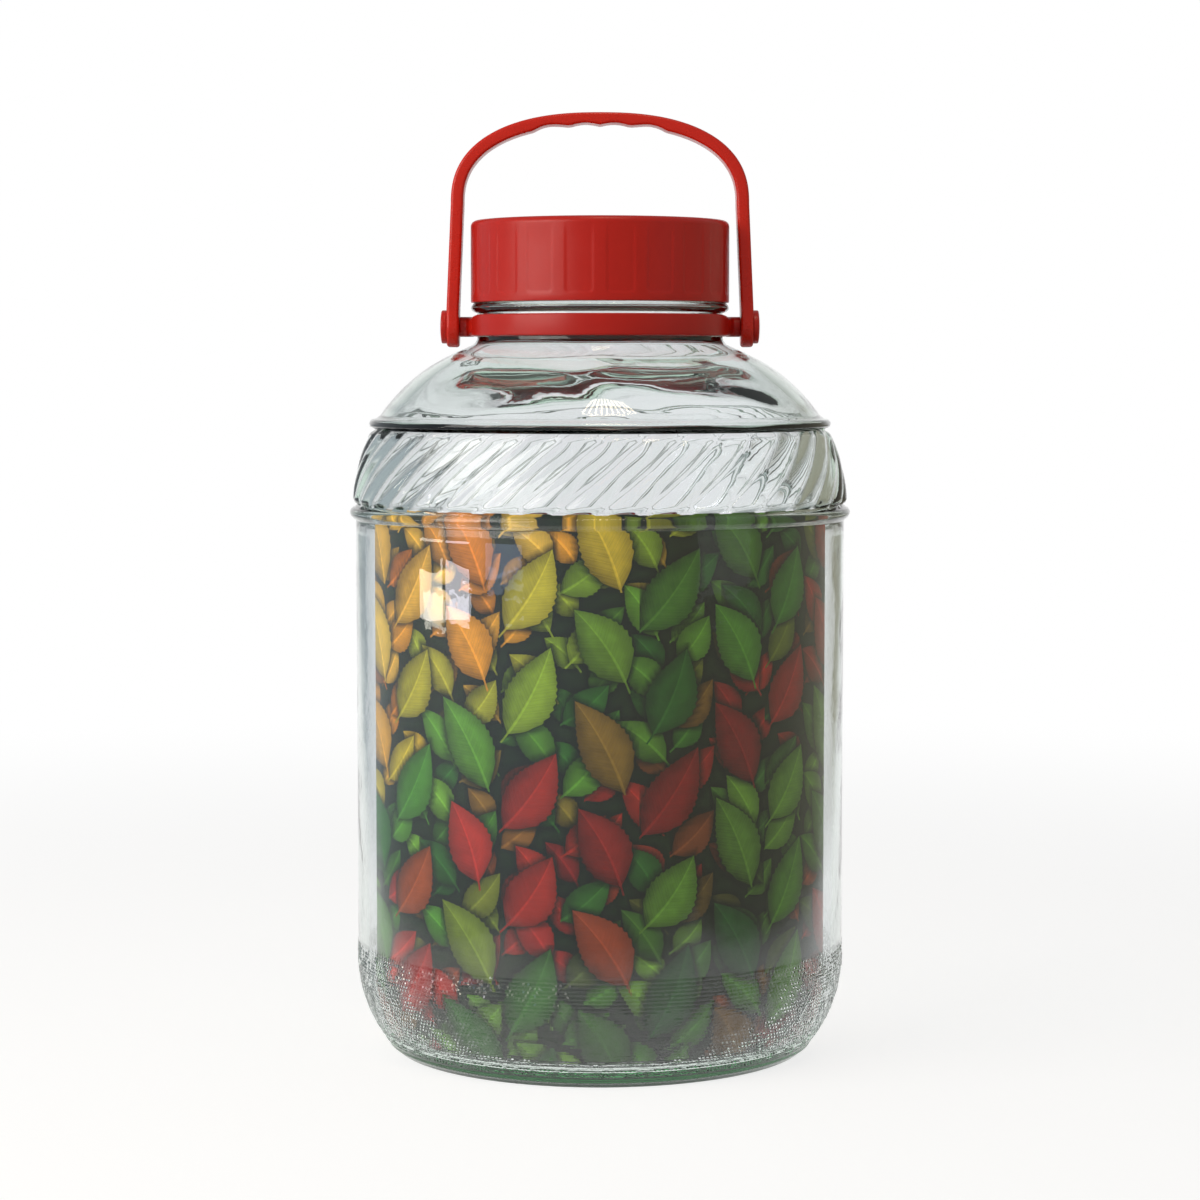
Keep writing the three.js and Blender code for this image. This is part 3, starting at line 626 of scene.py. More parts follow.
def soda_lime_glass():
    """Clear soda-lime glass, pressed and blown in an iron mould. Its faint iron green gathers
    where the wall is seen edge on, the inside is wavier than the face that met the mould, and
    the underside is rubbed matt, which lets the foot glow green."""
    material, tree = blank_material("soda_lime_glass")
    place = node(tree, "ShaderNodeTexCoord").outputs["Object"]
    inside = node(tree, "ShaderNodeAttribute", attribute_name="inside").outputs["Fac"]
    worn = node(tree, "ShaderNodeAttribute", attribute_name="underside").outputs["Fac"]
    broad = node(tree, "ShaderNodeTexNoise",
                 named={"Vector": place, "Scale": 1 / (wave_length * MM), "Detail": 1.0})
    fine = node(tree, "ShaderNodeTexNoise",
                named={"Vector": place, "Scale": 1 / (fine_wave_length * MM), "Detail": 2.0})
    ripple = node(tree, MATH, fine, inside, operation="MULTIPLY")
    waves = node(tree, MATH, ripple, fine_wave_share, broad, operation="MULTIPLY_ADD")
    wavy = node(tree, "ShaderNodeBump",
                named={"Strength": 1.0, "Distance": wave_height * MM, "Height": waves})
    glass = node(tree, "ShaderNodeBsdfPrincipled",
                 named={"Base Color": srgb("#fbf9fd"), "IOR": 1.52,
                        "Roughness": node(tree, MATH, worn, underside_roughness, operation="MULTIPLY"),
                        "Transmission Weight": 1.0, "Normal": wavy})
    tint = node(tree, "ShaderNodeVolumeAbsorption", srgb("#ddf0e2"), green_per_metre)
    node(tree, "ShaderNodeOutputMaterial", glass, tint)
    return material


def mark(obj, name, share_at):
    """Keeps a number at each point of a mesh, from its radius and height."""
    points = np.zeros(len(obj.data.vertices) * 3, np.float32)
    obj.data.vertices.foreach_get("co", points)
    points = points.reshape(-1, 3) / MM
    shares = share_at(np.hypot(points[:, 0], points[:, 1]), points[:, 2])
    obj.data.attributes.new(name, "FLOAT", "POINT").data.foreach_set("value", shares.astype(np.float32))


def inside_radius(height):
    """Radius of the inside of the wall at a height."""
    return np.interp(height, [height for _, height in cavity], [radius for radius, _ in cavity])


def thicker_wall(radius, height):
    """How far the wall has grown at a point inside the shoulder: from nothing at the hoop to one
    two thirds of the way to the neck, and less from there."""
    angle = np.arctan2(height - shoulder_centre[1], radius - shoulder_centre[0])
    share = np.clip((angle - inner_dome_angle) / (shoulder_end_angle - inner_dome_angle), 0, 1)
    grown = np.minimum(share / thickest_share, 1) ** thickening_ease
    return grown * (1 - np.maximum(share - thickest_share, 0) * thinning)


def heel_climb(radius, height):
    """Length along the section from the top of the heel, negative below it."""
    angle = np.arctan2(height - heel_height, radius - heel_centre[0])
    return np.where(height < heel_height, angle * heel_radius, height - heel_height)


def on_inner_shoulder(radius, height):
    """One inside the shoulder, where the blown wall is uneven, and nought from the neck up."""
    below_neck = np.clip((groove_bottom - neck_clear - height) / neck_fade, 0, 1)
    return (radius < inside_radius(height) + 1) * below_neck


joint_climb = stipple_rows[0] * stipple_row - joint_gap
joint_climbs = np.linspace(joint_climb - joint_half_width, joint_climb + joint_half_width, 7)
stipple_climbs = np.arange(stipple_rows[0] * 2, stipple_rows[1] * 2 + 1) * stipple_row / 2
heel_start = -math.asin(heel_height / heel_radius) * heel_radius
outline = [(*point, inside_segments) for point in base_section()]
outline += [(*heel_point(climb), outside_segments) for climb in (heel_start, heel_start + foot_edge_step)]
outline += [(*heel_point(climb), heel_segments) for climb in (*joint_climbs, *stipple_climbs)]
outline += [(*point, outside_segments) for point in wall_section()]
cavity = cavity_section()
outline += [(*point, inside_segments) for point in cavity[::-1]]
glass = revolved("clear_glass", outline, 60)
crests = np.vectorize(crest)
mark(glass, "on_band", lambda r, z: (z > band_bottom - 0.01) * (z < band_top + 0.01) *
     (r > crests(np.clip(z, band_bottom, band_top)) - 3))
mark(glass, "on_finish", lambda r, z: (z > finish_bottom + 1) * (z < finish_top) * (r > finish_radius - 0.5))
mark(glass, "heel_climb", heel_climb)
mark(glass, "inside", lambda r, z: (z > floor_height - 1) * (r < inside_radius(z) + 1))
mark(glass, "on_joint", lambda r, z: (r > foot_radius - 1) * (r < body_radius - glass_wall) *
     (z < floor_height) * np.clip(1 - (np.abs(heel_climb(r, z) - joint_climb) / joint_half_width) ** 2, 0, 1))
mark(glass, "underside", lambda r, z: (z < push_up + 0.01) * (r < foot_radius + 0.01) * 1.0)
mark(glass, "on_heel", lambda r, z: (heel_climb(r, z) > stipple_climbs[0]) *
     np.clip((stipple_climbs[-1] + 1.5 - heel_climb(r, z)) / stipple_fade, 0, 1) *
     (np.hypot(r - heel_centre[0], np.minimum(z - heel_height, 0)) > heel_radius - glass_wall / 2))
mark(glass, "inner_shoulder", lambda r, z: on_inner_shoulder(r, z) *
     np.clip((z - band_top) / ripple_fade, 0, 1))
mark(glass, "thicker_wall", lambda r, z: on_inner_shoulder(r, z) * (z > band_top) * thicker_wall(r, z))
screw_thread = thread_rise()
shape_with(glass, pressed_pattern(screw_thread), {
    "Flute Count": float(flute_count), "Flute Depth": flute_depth * MM, "Flute Cover": flute_cover * MM,
    "Twist": flute_twist, "Band Bottom": band_bottom * MM, "Band Top": band_top * MM,
    "End Length": flute_end_length * MM, "Bead Count": float(stipple_dots), "Bead Row": stipple_row,
    "Bead Rise": stipple_rise * MM, "Joint Rise": joint_rise * MM, "Thread Start": thread_bottom * MM,
    "Thread Pitch": thread_pitch * MM, "Thread Turns": thread_turns, "Thread Height": thread_height * MM,
    "Root Width": thread_root_width * MM, "Crest Width": thread_crest_width * MM, "Run-out": thread_runout,
    "Ripple": ripple_swell * MM, "Ripple Length": ripple_length * MM, "Shoulder Swell": shoulder_swell * MM,
    "Glass": soda_lime_glass(),
}, 60)
# The stipple is left unsmoothed, so that its facets catch the light one by one.
for face in glass.data.polygons:
    radius, height = Vector(face.center[:2]).length / MM, face.center[2] / MM
    climb = heel_climb(radius, height)
    if stipple_climbs[0] < climb < stipple_climbs[-1] and radius > heel_point(climb)[0] - 1:
        face.use_smooth = False
# Clear glass throws hardly any shadow, and the lamps have to reach the card inside it.
glass.visible_shadow = False
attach(glass, "jar")
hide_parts("glass_jar")

# PICTURE CARD
# A sheet of coated card, printed on both faces and rolled to stand inside the glass against the
# front wall. The print is a plain repeat of leaves over a dark margin; its cut edges are bare.
card_thickness = 0.4
card_gap = 0.5
card_width = 284
card_bottom = floor_height + 1.2
card_top = 275.2
card_margin = 3.6
card_columns = 150
card_rows = 70
row_crowding = 1.4
print_unit = 100
veins_per_leaf = 12
vein_slant = 0.75
least_leaf = 0.44
leaf_spread = 0.12
rib_bend = 0.09
tooth_depth = 0.035
stalk_reach = 1.25
stalk_edges = (0.35, 0.6)
leaf_shadow = 4.5
curl_width = 7.0
mottle_size = 7
drift_size = 60
drift_heading = (0.6, -0.8, 0.0)
fibre_length = 1.2
fibre_depth = 0.05


def card_sheet():
    """The closed sheet: its outer face follows the inside of the glass. Its rows are closest at
    the bottom, where it bends round the heel."""
    heights = card_bottom + (card_top - card_bottom) * np.linspace(0, 1, card_rows + 1) ** row_crowding
    radii = inside_radius(heights)
    spread = np.linspace(-0.5, 0.5, card_columns + 1) * card_width
    points, lengths = [], []
    for inset in (card_gap, card_gap + card_thickness):
        for length in spread:
            angle = length / body_radius - quarter
            for radius, height in zip(radii - inset, heights):
                points.append((radius * math.cos(angle), radius * math.sin(angle), height))
                lengths.append(length)
    rows, columns = card_rows + 1, card_columns + 1
    inner = rows * columns
    faces = []
    for i in range(card_columns):
        for j in range(card_rows):
            low = i * rows + j
            faces.append([low, low + rows, low + rows + 1, low + 1])
            faces.append([inner + low, inner + low + 1, inner + low + rows + 1, inner + low + rows])
    for i in range(card_columns):
        for edge, way in ((i * rows, 1), (i * rows + card_rows, -1)):
            faces.append([edge, inner + edge, inner + edge + rows, edge + rows][::way])
    for j in range(card_rows):
        for edge, way in ((j, 1), (card_columns * rows + j, -1)):
            faces.append([edge, edge + 1, inner + edge + 1, inner + edge][::way])
    sheet = mesh_object("picture_card", points, faces, 40)
    flat = sheet.data.uv_layers.new(name="print")
    for loop in sheet.data.loops:
        flat.data[loop.index].uv = (lengths[loop.vertex_index] / print_unit,
                                    points[loop.vertex_index][2] / print_unit)
    for face in sheet.data.polygons:
        face.material_index = 0 if max(face.vertices) < inner or min(face.vertices) >= inner else 1
    return sheet


def leaf_layer():
    """One layer of the print: pointed leaves in half-drop columns that lean to alternate sides,
    with sizes in millimetres. Gives each leaf's cover, the soft shadow round it, its light and
    shade, a chance number and its middle. A half-millimetre rib and a few wide veins stand for
    the finer ones of a real leaf, because those would be too fine to show."""
    tree = bpy.data.node_groups.new("leaf_layer", "ShaderNodeTree")
    tree.interface.new_socket("Place", in_out="INPUT", socket_type="NodeSocketVector")
    for label in ("Column", "Row", "Length", "Width", "Lean", "Sway", "Seed"):
        tree.interface.new_socket(label, in_out="INPUT", socket_type="NodeSocketFloat")
    for label in ("Cover", "Shadow", "Shade", "Pick"):
        tree.interface.new_socket(label, in_out="OUTPUT", socket_type="NodeSocketFloat")
    tree.interface.new_socket("Middle", in_out="OUTPUT", socket_type="NodeSocketVector")
    value = node(tree, "NodeGroupInput").outputs
    result = node(tree, "NodeGroupOutput")
    # The cell that a place lies in, its three chance numbers, and the place within it.
    x, y, _ = node(tree, "ShaderNodeSeparateXYZ", value["Place"]).outputs
    across = node(tree, MATH, node(tree, MATH, x, value["Column"], operation="DIVIDE"), value["Seed"],
                  operation="ADD")
    column = node(tree, MATH, across, operation="FLOOR")
    odd = node(tree, MATH, column, 2.0, operation="FLOORED_MODULO")
    upward = node(tree, MATH, odd, 0.5, node(tree, MATH, y, value["Row"], operation="DIVIDE"),
                  operation="MULTIPLY_ADD")
    row = node(tree, MATH, upward, operation="FLOOR")
    cell = node(tree, "ShaderNodeCombineXYZ", column, row, value["Seed"])
    chance = node(tree, "ShaderNodeTexWhiteNoise", cell, noise_dimensions="3D")
    first, second, third = node(tree, "ShaderNodeSeparateColor", chance.outputs["Color"]).outputs
    local_x = node(tree, MATH, node(tree, MATH, across, column, operation="SUBTRACT"), 0.5,
                   operation="SUBTRACT")
    local_y = node(tree, MATH, node(tree, MATH, upward, row, operation="SUBTRACT"), 0.5,
                   operation="SUBTRACT")
    centred = node(tree, "ShaderNodeCombineXYZ",
                   node(tree, MATH, local_x, value["Column"], operation="MULTIPLY"),
                   node(tree, MATH, local_y, value["Row"], operation="MULTIPLY"), 0.0)
    middle = node(tree, "ShaderNodeVectorMath", value["Place"], centred, operation="SUBTRACT")
    # The leaf leans, and its rib bends a little. The blade is a pointed oval that is fullest
    # below its middle, with a scalloped edge and a stalk.
    side = node(tree, MATH, odd, 2.0, -1.0, operation="MULTIPLY_ADD")
    sway = node(tree, MATH, node(tree, MATH, first, 0.5, operation="SUBTRACT"), value["Sway"],
                operation="MULTIPLY")
    lean = node(tree, MATH, side, value["Lean"], sway, operation="MULTIPLY_ADD")
    turned = node(tree, "ShaderNodeVectorRotate", rotation_type="Z_AXIS",
                  named={"Vector": centred, "Angle": lean})
    off, along, _ = node(tree, "ShaderNodeSeparateXYZ", turned).outputs
    size = node(tree, MATH, second, leaf_spread, least_leaf, operation="MULTIPLY_ADD")
    share = node(tree, MATH, along, node(tree, MATH, value["Length"], size, operation="MULTIPLY"),
                 operation="DIVIDE")
    bend = node(tree, MATH, node(tree, MATH, share, 2.0, operation="POWER"),
                node(tree, MATH, value["Width"], rib_bend, operation="MULTIPLY"), operation="MULTIPLY")
    off = node(tree, MATH, off, bend, operation="ADD")
    from_rib = node(tree, MATH, off, operation="ABSOLUTE")
    slant = node(tree, MATH, from_rib, -vein_slant, along, operation="MULTIPLY_ADD")
    vein_phase = node(tree, MATH, node(tree, MATH, slant, value["Length"], operation="DIVIDE"),
                      2 * math.pi * veins_per_leaf, operation="MULTIPLY")
    ripple = node(tree, MATH, vein_phase, operation="COSINE")
    taper = node(tree, MATH, 1.0, node(tree, MATH, share, 2.0, operation="POWER"), operation="SUBTRACT")
    fuller = node(tree, MATH, share, -0.3, 1.0, operation="MULTIPLY_ADD")
    scallop = node(tree, MATH, ripple, tooth_depth, 1.0, operation="MULTIPLY_ADD")
    half_width = node(tree, MATH, node(tree, MATH, taper, fuller, operation="MULTIPLY"),
                      node(tree, MATH, value["Width"], 0.5, operation="MULTIPLY"), operation="MULTIPLY")
    depth = node(tree, MATH, node(tree, MATH, half_width, scallop, operation="MULTIPLY"), from_rib,
                 operation="SUBTRACT")
    blade = node(tree, "ShaderNodeMapRange", depth, 0.0, 0.3, 0.0, 1.0)
    stalk_width = node(tree, "ShaderNodeMapRange", from_rib, *stalk_edges, 1.0, 0.0)
    stalk_end = node(tree, MATH, share, -stalk_reach, operation="GREATER_THAN")
    stalk_start = node(tree, MATH, share, -0.9, operation="LESS_THAN")
    stalk = node(tree, MATH, node(tree, MATH, stalk_end, stalk_start, operation="MULTIPLY"), stalk_width,
                 operation="MULTIPLY")
    cover = node(tree, MATH, blade, stalk, operation="MAXIMUM")
    shadow = node(tree, "ShaderNodeMapRange", depth, -leaf_shadow, 0.5, 0.0, 1.0)
    # Light and shade: pale rib and veins, swells between them, one half lit, and a curled edge.
    vein = node(tree, "ShaderNodeMapRange", ripple, 0.9, 1.0, 0.0, 0.2)
    swell = node(tree, "ShaderNodeMapRange", ripple, -1.0, 1.0, 0.07, -0.07)
    rib_width = node(tree, MATH, share, -0.3, 0.45, operation="MULTIPLY_ADD")
    rib = node(tree, "ShaderNodeMapRange", node(tree, MATH, from_rib, rib_width, operation="SUBTRACT"),
               -0.15, 0.2, 0.38, 0.0)
    lines = node(tree, MATH, rib, vein, operation="MAXIMUM")
    lit_half = node(tree, "ShaderNodeMapRange", off, -0.5, 0.5, -0.1, 0.12)
    curl = node(tree, "ShaderNodeMapRange", depth, 0.0, curl_width, 0.3, 0.72)
    tip = node(tree, MATH, share, 0.1, operation="MULTIPLY")
    shade = node(tree, MATH, node(tree, MATH, lit_half, curl, operation="ADD"), tip, operation="ADD")
    shade = node(tree, MATH, node(tree, MATH, shade, lines, operation="ADD"), swell, operation="ADD")
    shade = node(tree, MATH, third, 0.2, shade, operation="MULTIPLY_ADD")
    for label, made in (("Cover", cover), ("Shadow", shadow), ("Shade", shade), ("Middle", middle)):
        tree.links.new(made.outputs[0], result.inputs[label])
    tree.links.new(chance.outputs["Value"], result.inputs["Pick"])
    return tree


def printed_coated_card():
    """Coated card with an offset print under a gloss varnish: even ink, crisp edges, and a soft
    sheen. Drifts of orange, green and dark red leaves cross it from corner to corner."""
    material, tree = blank_material("offset_printed_coated_card")
    place = node(tree, "ShaderNodeVectorMath", node(tree, "ShaderNodeUVMap", uv_map="print"),
                 float(print_unit), operation="SCALE")
    mottle = node(tree, "ShaderNodeTexNoise",
                  named={"Vector": place, "Scale": 1 / mottle_size, "Detail": 3.0})
    layers = leaf_layer()
    colour = node(tree, "ShaderNodeMix", mottle, srgb("#0c170c"), srgb("#22361a"), data_type="RGBA")
    inks = ((0.0, "#ffc83f"), (0.05, "#f58a1c"), (0.1, "#ffdb55"), (0.15, "#f79a22"), (0.2, "#ffc03a"),
            (0.24, "#a9c838"), (0.28, "#3f8a2c"), (0.32, "#84c43a"), (0.36, "#276626"), (0.41, "#62ab34"),
            (0.45, "#b82a20"), (0.49, "#dc3c26"), (0.53, "#96201c"), (0.57, "#cc3428"), (0.61, "#2d6c2a"),
            (0.66, "#93cc42"), (0.71, "#256028"), (0.76, "#74b83a"), (0.81, "#3d862c"), (0.86, "#e24222"),
            (0.91, "#b4261e"), (0.95, "#f0662c"), (1.0, "#d83822"))
    # Column, row, length, width, lean and sway in degrees, and seed: small leaves lie lowest.
    sizes = ((21, 25, 24, 14, 45, 20, 3.37), (27, 31, 30, 17, 44, 24, 7.72), (35, 48, 46, 25, 30, 16, 0.45))
    for column, row, length, width, lean, sway, seed in sizes:
        leaf = node(tree, "ShaderNodeGroup", place, column, row, length, width, math.radians(lean),
                    math.radians(sway), seed, node_tree=layers).outputs
        along = node(tree, "ShaderNodeVectorMath", leaf["Middle"], drift_heading, operation="DOT_PRODUCT")
        drift = node(tree, "ShaderNodeTexNoise",
                     named={"Vector": leaf["Middle"], "Scale": 1 / drift_size, "Detail": 0.0})
        band = node(tree, "ShaderNodeMapRange", along.outputs["Value"], -300.0, 70.0, -0.16, 0.88)
        family = node(tree, MATH, drift, 0.2, band, operation="MULTIPLY_ADD")
        family = node(tree, MATH, leaf["Pick"], 0.12, family, operation="MULTIPLY_ADD")
        ink = node(tree, "ShaderNodeValToRGB", node(tree, MATH, family, 0.06, operation="SUBTRACT"))
        elements = ink.color_ramp.elements
        while len(elements) < len(inks):
            elements.new(0.5)
        for element, (position, code) in zip(elements, inks):
            element.position = position
            element.color = srgb(code)
        darkened = node(tree, "ShaderNodeMix", leaf["Shadow"], colour, srgb("#081008"), data_type="RGBA")
        uneven = node(tree, MATH, mottle, 0.5, leaf["Shade"], operation="MULTIPLY_ADD")
        uneven = node(tree, MATH, uneven, 0.25, operation="SUBTRACT")
        lit = node(tree, "ShaderNodeVectorMath", ink, uneven, operation="SCALE")
        colour = node(tree, "ShaderNodeMix", leaf["Cover"], darkened, lit, data_type="RGBA")
    up = node(tree, "ShaderNodeSeparateXYZ", place).outputs["Y"]
    picture = node(tree, "ShaderNodeMapRange", up, card_bottom + card_margin, card_bottom + card_margin + 0.3,
                   0.0, 1.0)
    colour = node(tree, "ShaderNodeMix", picture, srgb("#26352b"), colour, data_type="RGBA")
    ink_film = node(tree, "ShaderNodeBsdfPrincipled",
                    named={"Base Color": colour, "Roughness": 0.36, "IOR": 1.48,
                           "Specular IOR Level": 0.35})
    node(tree, "ShaderNodeOutputMaterial", ink_film)
    return material


def bare_board():
    """The cut edge of the card: matt greyish white with a fine felt of fibres."""
    material, tree = blank_material("uncoated_board")
    place = node(tree, "ShaderNodeTexCoord").outputs["Object"]
    fibres = node(tree, "ShaderNodeTexNoise",
                  named={"Vector": place, "Scale": 1 / (fibre_length * MM), "Detail": 3.0})
    tone = node(tree, "ShaderNodeMix", fibres, srgb("#c9c6bd"), srgb("#dcdad2"), data_type="RGBA")
    felt = node(tree, "ShaderNodeBump",
                named={"Strength": 0.4, "Distance": fibre_depth * MM, "Height": fibres})
    board = node(tree, "ShaderNodeBsdfPrincipled",
                 named={"Base Color": tone, "Roughness": 0.85, "Specular IOR Level": 0.3, "Normal": felt})
    node(tree, "ShaderNodeOutputMaterial", board)
    return material


card = card_sheet()
card.data.materials.append(printed_coated_card())
card.data.materials.append(bare_board())
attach(card, "jar")
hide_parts("printed_card")

# SCREW CAP
# Injection-moulded red polypropylene: a flat top with a rounded edge, a skirt with twenty
# shallow sunken grips between narrow lands, and the mating thread inside.
seat_gap = 0.3
seal_thickness = 1.8
seal_bottom = rim_height + seat_gap
cap_inside_height = seal_bottom + seal_thickness + seat_gap
cap_height = cap_inside_height + 2.2
cap_inside_radius = finish_radius + thread_height + 0.5
cap_radius = cap_inside_radius + 2.1
cap_bottom = finish_bottom
cap_edge_radius = 3
cap_lip_round = 0.5
panel_radius = 50
panel_sink = 0.4
grip_count = 20
cap_segments = grip_count * 36
grip_half_width = 7.6
grip_corner = 3
grip_depth = 0.25
grip_ramp = 1.6
grip_fade = 7
grip_bottom = cap_bottom + 3.2
cap_thread_bottom = thread_bottom - (thread_root_width + thread_crest_width) / 2 - 0.4
cap_thread_turns = 1.25
cap_thread_margin = 0.5
cap_thread_row = 0.6
cap_inside_round = 0.8
streak_width = 9
cloud_size = 14
sink_size = 26
sink_depth = 0.09
grain_size = 0.7
grain_height = 0.0015


def cap_section():
    """The cap's closed outline, from the middle of its top out, down and back up inside. Rows
    on a flat or a straight only divide it, closest where the grips and the thread need them."""
    sunk = cap_height - panel_sink
    panel = [(0, sunk), (4, sunk), (panel_radius, sunk), (panel_radius + 0.5, sunk + 0.05),
             (panel_radius + 1.4, cap_height - 0.05), (panel_radius + 2, cap_height)]
    edge = arc((cap_radius - cap_edge_radius, cap_height - cap_edge_radius), cap_edge_radius, quarter, 0, 6)
    fade_top = cap_height - cap_edge_radius
    heights = [*np.linspace(fade_top - 0.6, fade_top - grip_fade, 7),
               *np.linspace(fade_top - 11, grip_bottom + 8, 4),
               *np.linspace(grip_bottom + 4, grip_bottom - 0.2, 9)]
    skirt = [(cap_radius, height) for height in heights]
    lip = fillet(skirt[-1], (cap_radius, cap_bottom), (cap_inside_radius, cap_bottom), cap_lip_round, 3)
    low = cap_thread_bottom - thread_root_width / 2 - cap_thread_margin
    high = cap_thread_bottom + thread_pitch * cap_thread_turns + thread_root_width / 2 + cap_thread_margin
    inside = [(cap_inside_radius, height) for height in (cap_bottom, *np.arange(low, high, cap_thread_row))]
    ceiling = (0, cap_inside_height)
    corner = fillet((cap_inside_radius, cap_bottom), (cap_inside_radius, cap_inside_height), ceiling,
                    cap_inside_round, 3)
    return panel + edge + skirt + lip + inside + corner + [(30, cap_inside_height), ceiling]


def moulded_cap(thread):
    """The mould's work on the turned cap: sunken grips with rounded corners outside, which fade
    out towards the top, and the thread inside."""
    sizes = ("Grip Count", "Grip Half Width", "Grip Bottom", "Grip Top", "Grip Corner", "Grip Depth",
             "Grip Ramp", "Skirt Radius", *thread_sizes)
    tree, value, result = shape_tree("moulded_cap", {
        "Geometry": "Geometry", **{size: "Float" for size in sizes}, "Plastic": "Material",
    }, {"Geometry": "Geometry"})
    # A grip is sunk by how far a point lies within its round-cornered outline.
    x, y, z = node(tree, "ShaderNodeSeparateXYZ", node(tree, "GeometryNodeInputPosition")).outputs
    angle = node(tree, MATH, y, x, operation="ARCTAN2")
    turn = node(tree, MATH, node(tree, MATH, angle, 2 * math.pi, operation="DIVIDE"), value["Grip Count"],
                0.5, operation="MULTIPLY_ADD")
    nearest = node(tree, MATH, turn, operation="ROUND")
    step = node(tree, MATH, node(tree, MATH, 2 * math.pi, value["Grip Count"], operation="DIVIDE"),
                value["Skirt Radius"], operation="MULTIPLY")
    aside = node(tree, MATH, node(tree, MATH, turn, nearest, operation="SUBTRACT"), step,
                 operation="MULTIPLY")
    aside = node(tree, MATH, aside, operation="ABSOLUTE")
    middle = node(tree, MATH, node(tree, MATH, value["Grip Bottom"], value["Grip Top"], operation="ADD"),
                  0.5, operation="MULTIPLY")
    half_height = node(tree, MATH, node(tree, MATH, value["Grip Top"], value["Grip Bottom"],
                                        operation="SUBTRACT"), 0.5, operation="MULTIPLY")
    upright = node(tree, MATH, node(tree, MATH, z, middle, operation="SUBTRACT"), operation="ABSOLUTE")
    over_side = node(tree, MATH, node(tree, MATH, aside, value["Grip Half Width"], operation="SUBTRACT"),
                     value["Grip Corner"], operation="ADD")
    over_end = node(tree, MATH, node(tree, MATH, upright, half_height, operation="SUBTRACT"),
                    value["Grip Corner"], operation="ADD")
    beyond = node(tree, "ShaderNodeCombineXYZ", node(tree, MATH, over_side, 0.0, operation="MAXIMUM"),
                  node(tree, MATH, over_end, 0.0, operation="MAXIMUM"), 0.0)
    round_part = node(tree, "ShaderNodeVectorMath", beyond, operation="LENGTH")
    flat_part = node(tree, MATH, node(tree, MATH, over_side, over_end, operation="MAXIMUM"), 0.0,
                     operation="MINIMUM")
    outside = node(tree, MATH, node(tree, MATH, round_part, flat_part, operation="ADD"),
                   value["Grip Corner"], operation="SUBTRACT")
    within = node(tree, MATH, outside, -1.0, operation="MULTIPLY")
    sunk = node(tree, "ShaderNodeMapRange", within, 0.0, value["Grip Ramp"], 0.0, 1.0,
                interpolation_type="SMOOTHSTEP")
    on_skirt = node(tree, "GeometryNodeInputNamedAttribute", "on_skirt", data_type="FLOAT")
    sunk = node(tree, MATH, node(tree, MATH, sunk, value["Grip Depth"], operation="MULTIPLY"), on_skirt,
                operation="MULTIPLY")
    ridge = node(tree, "GeometryNodeGroup", *(value[size] for size in thread_sizes), node_tree=thread)
    on_inside = node(tree, "GeometryNodeInputNamedAttribute", "on_inside", data_type="FLOAT")
    ridge = node(tree, MATH, ridge, on_inside, operation="MULTIPLY")
    inward = node(tree, MATH, node(tree, MATH, sunk, ridge, operation="ADD"), -1.0, operation="MULTIPLY")
    outward = node(tree, "ShaderNodeVectorMath", node(tree, "ShaderNodeCombineXYZ", x, y, 0.0),
                   operation="NORMALIZE")
    offset = node(tree, "ShaderNodeVectorMath", outward, inward, operation="SCALE")
    moulded = node(tree, "GeometryNodeSetPosition", named={"Geometry": value["Geometry"], "Offset": offset})
    real = node(tree, "GeometryNodeRealizeInstances", moulded)
    clad = node(tree, "GeometryNodeSetMaterial", named={"Geometry": real, "Material": value["Plastic"]})
    tree.links.new(clad.outputs[0], result.inputs[0])
    return tree


def moulded_polypropylene(name, light, deep, roughness, flow, scuff):
    """Glossy injection-moulded polypropylene. The colour drifts faintly along the way the
    plastic flowed, the skin sinks and swells by hundredths of a millimetre, and handling has
    dulled it in fine cloudy patches. The mould's polish left a grain of a few hundredths of a
    millimetre. That is too fine to show, so it is drawn 0.7 mm wide."""
    material, tree = blank_material(name)
    place = node(tree, "ShaderNodeTexCoord").outputs["Object"]
    along = node(tree, "ShaderNodeMapping", place, named={"Scale": flow})
    streaks = node(tree, "ShaderNodeTexNoise",
                   named={"Vector": along, "Scale": 1 / (streak_width * MM), "Detail": 3.0})
    colour = node(tree, "ShaderNodeMix", streaks, srgb(deep), srgb(light), data_type="RGBA")
    clouds = node(tree, "ShaderNodeTexNoise", named={"Vector": place, "Scale": 1 / (cloud_size * MM),
                                                     "Detail": 4.0, "Roughness": 0.65})
    dulled = node(tree, "ShaderNodeMapRange", clouds, 0.4, 0.7, roughness, roughness + scuff)
    sinks = node(tree, "ShaderNodeTexNoise",
                 named={"Vector": place, "Scale": 1 / (sink_size * MM), "Detail": 1.0})
    skin = node(tree, "ShaderNodeBump", named={"Strength": 1.0, "Distance": sink_depth * MM, "Height": sinks})
    grain = node(tree, "ShaderNodeTexNoise",
                 named={"Vector": place, "Scale": 1 / (grain_size * MM), "Detail": 2.0})
    skin = node(tree, "ShaderNodeBump", named={"Strength": 1.0, "Distance": grain_height * MM,
                                               "Height": grain, "Normal": skin})
    plastic = node(tree, "ShaderNodeBsdfPrincipled",
                   named={"Base Color": colour, "Roughness": dulled, "IOR": 1.49,
                          "Specular IOR Level": 0.4, "Normal": skin})
    node(tree, "ShaderNodeOutputMaterial", plastic)
    return material


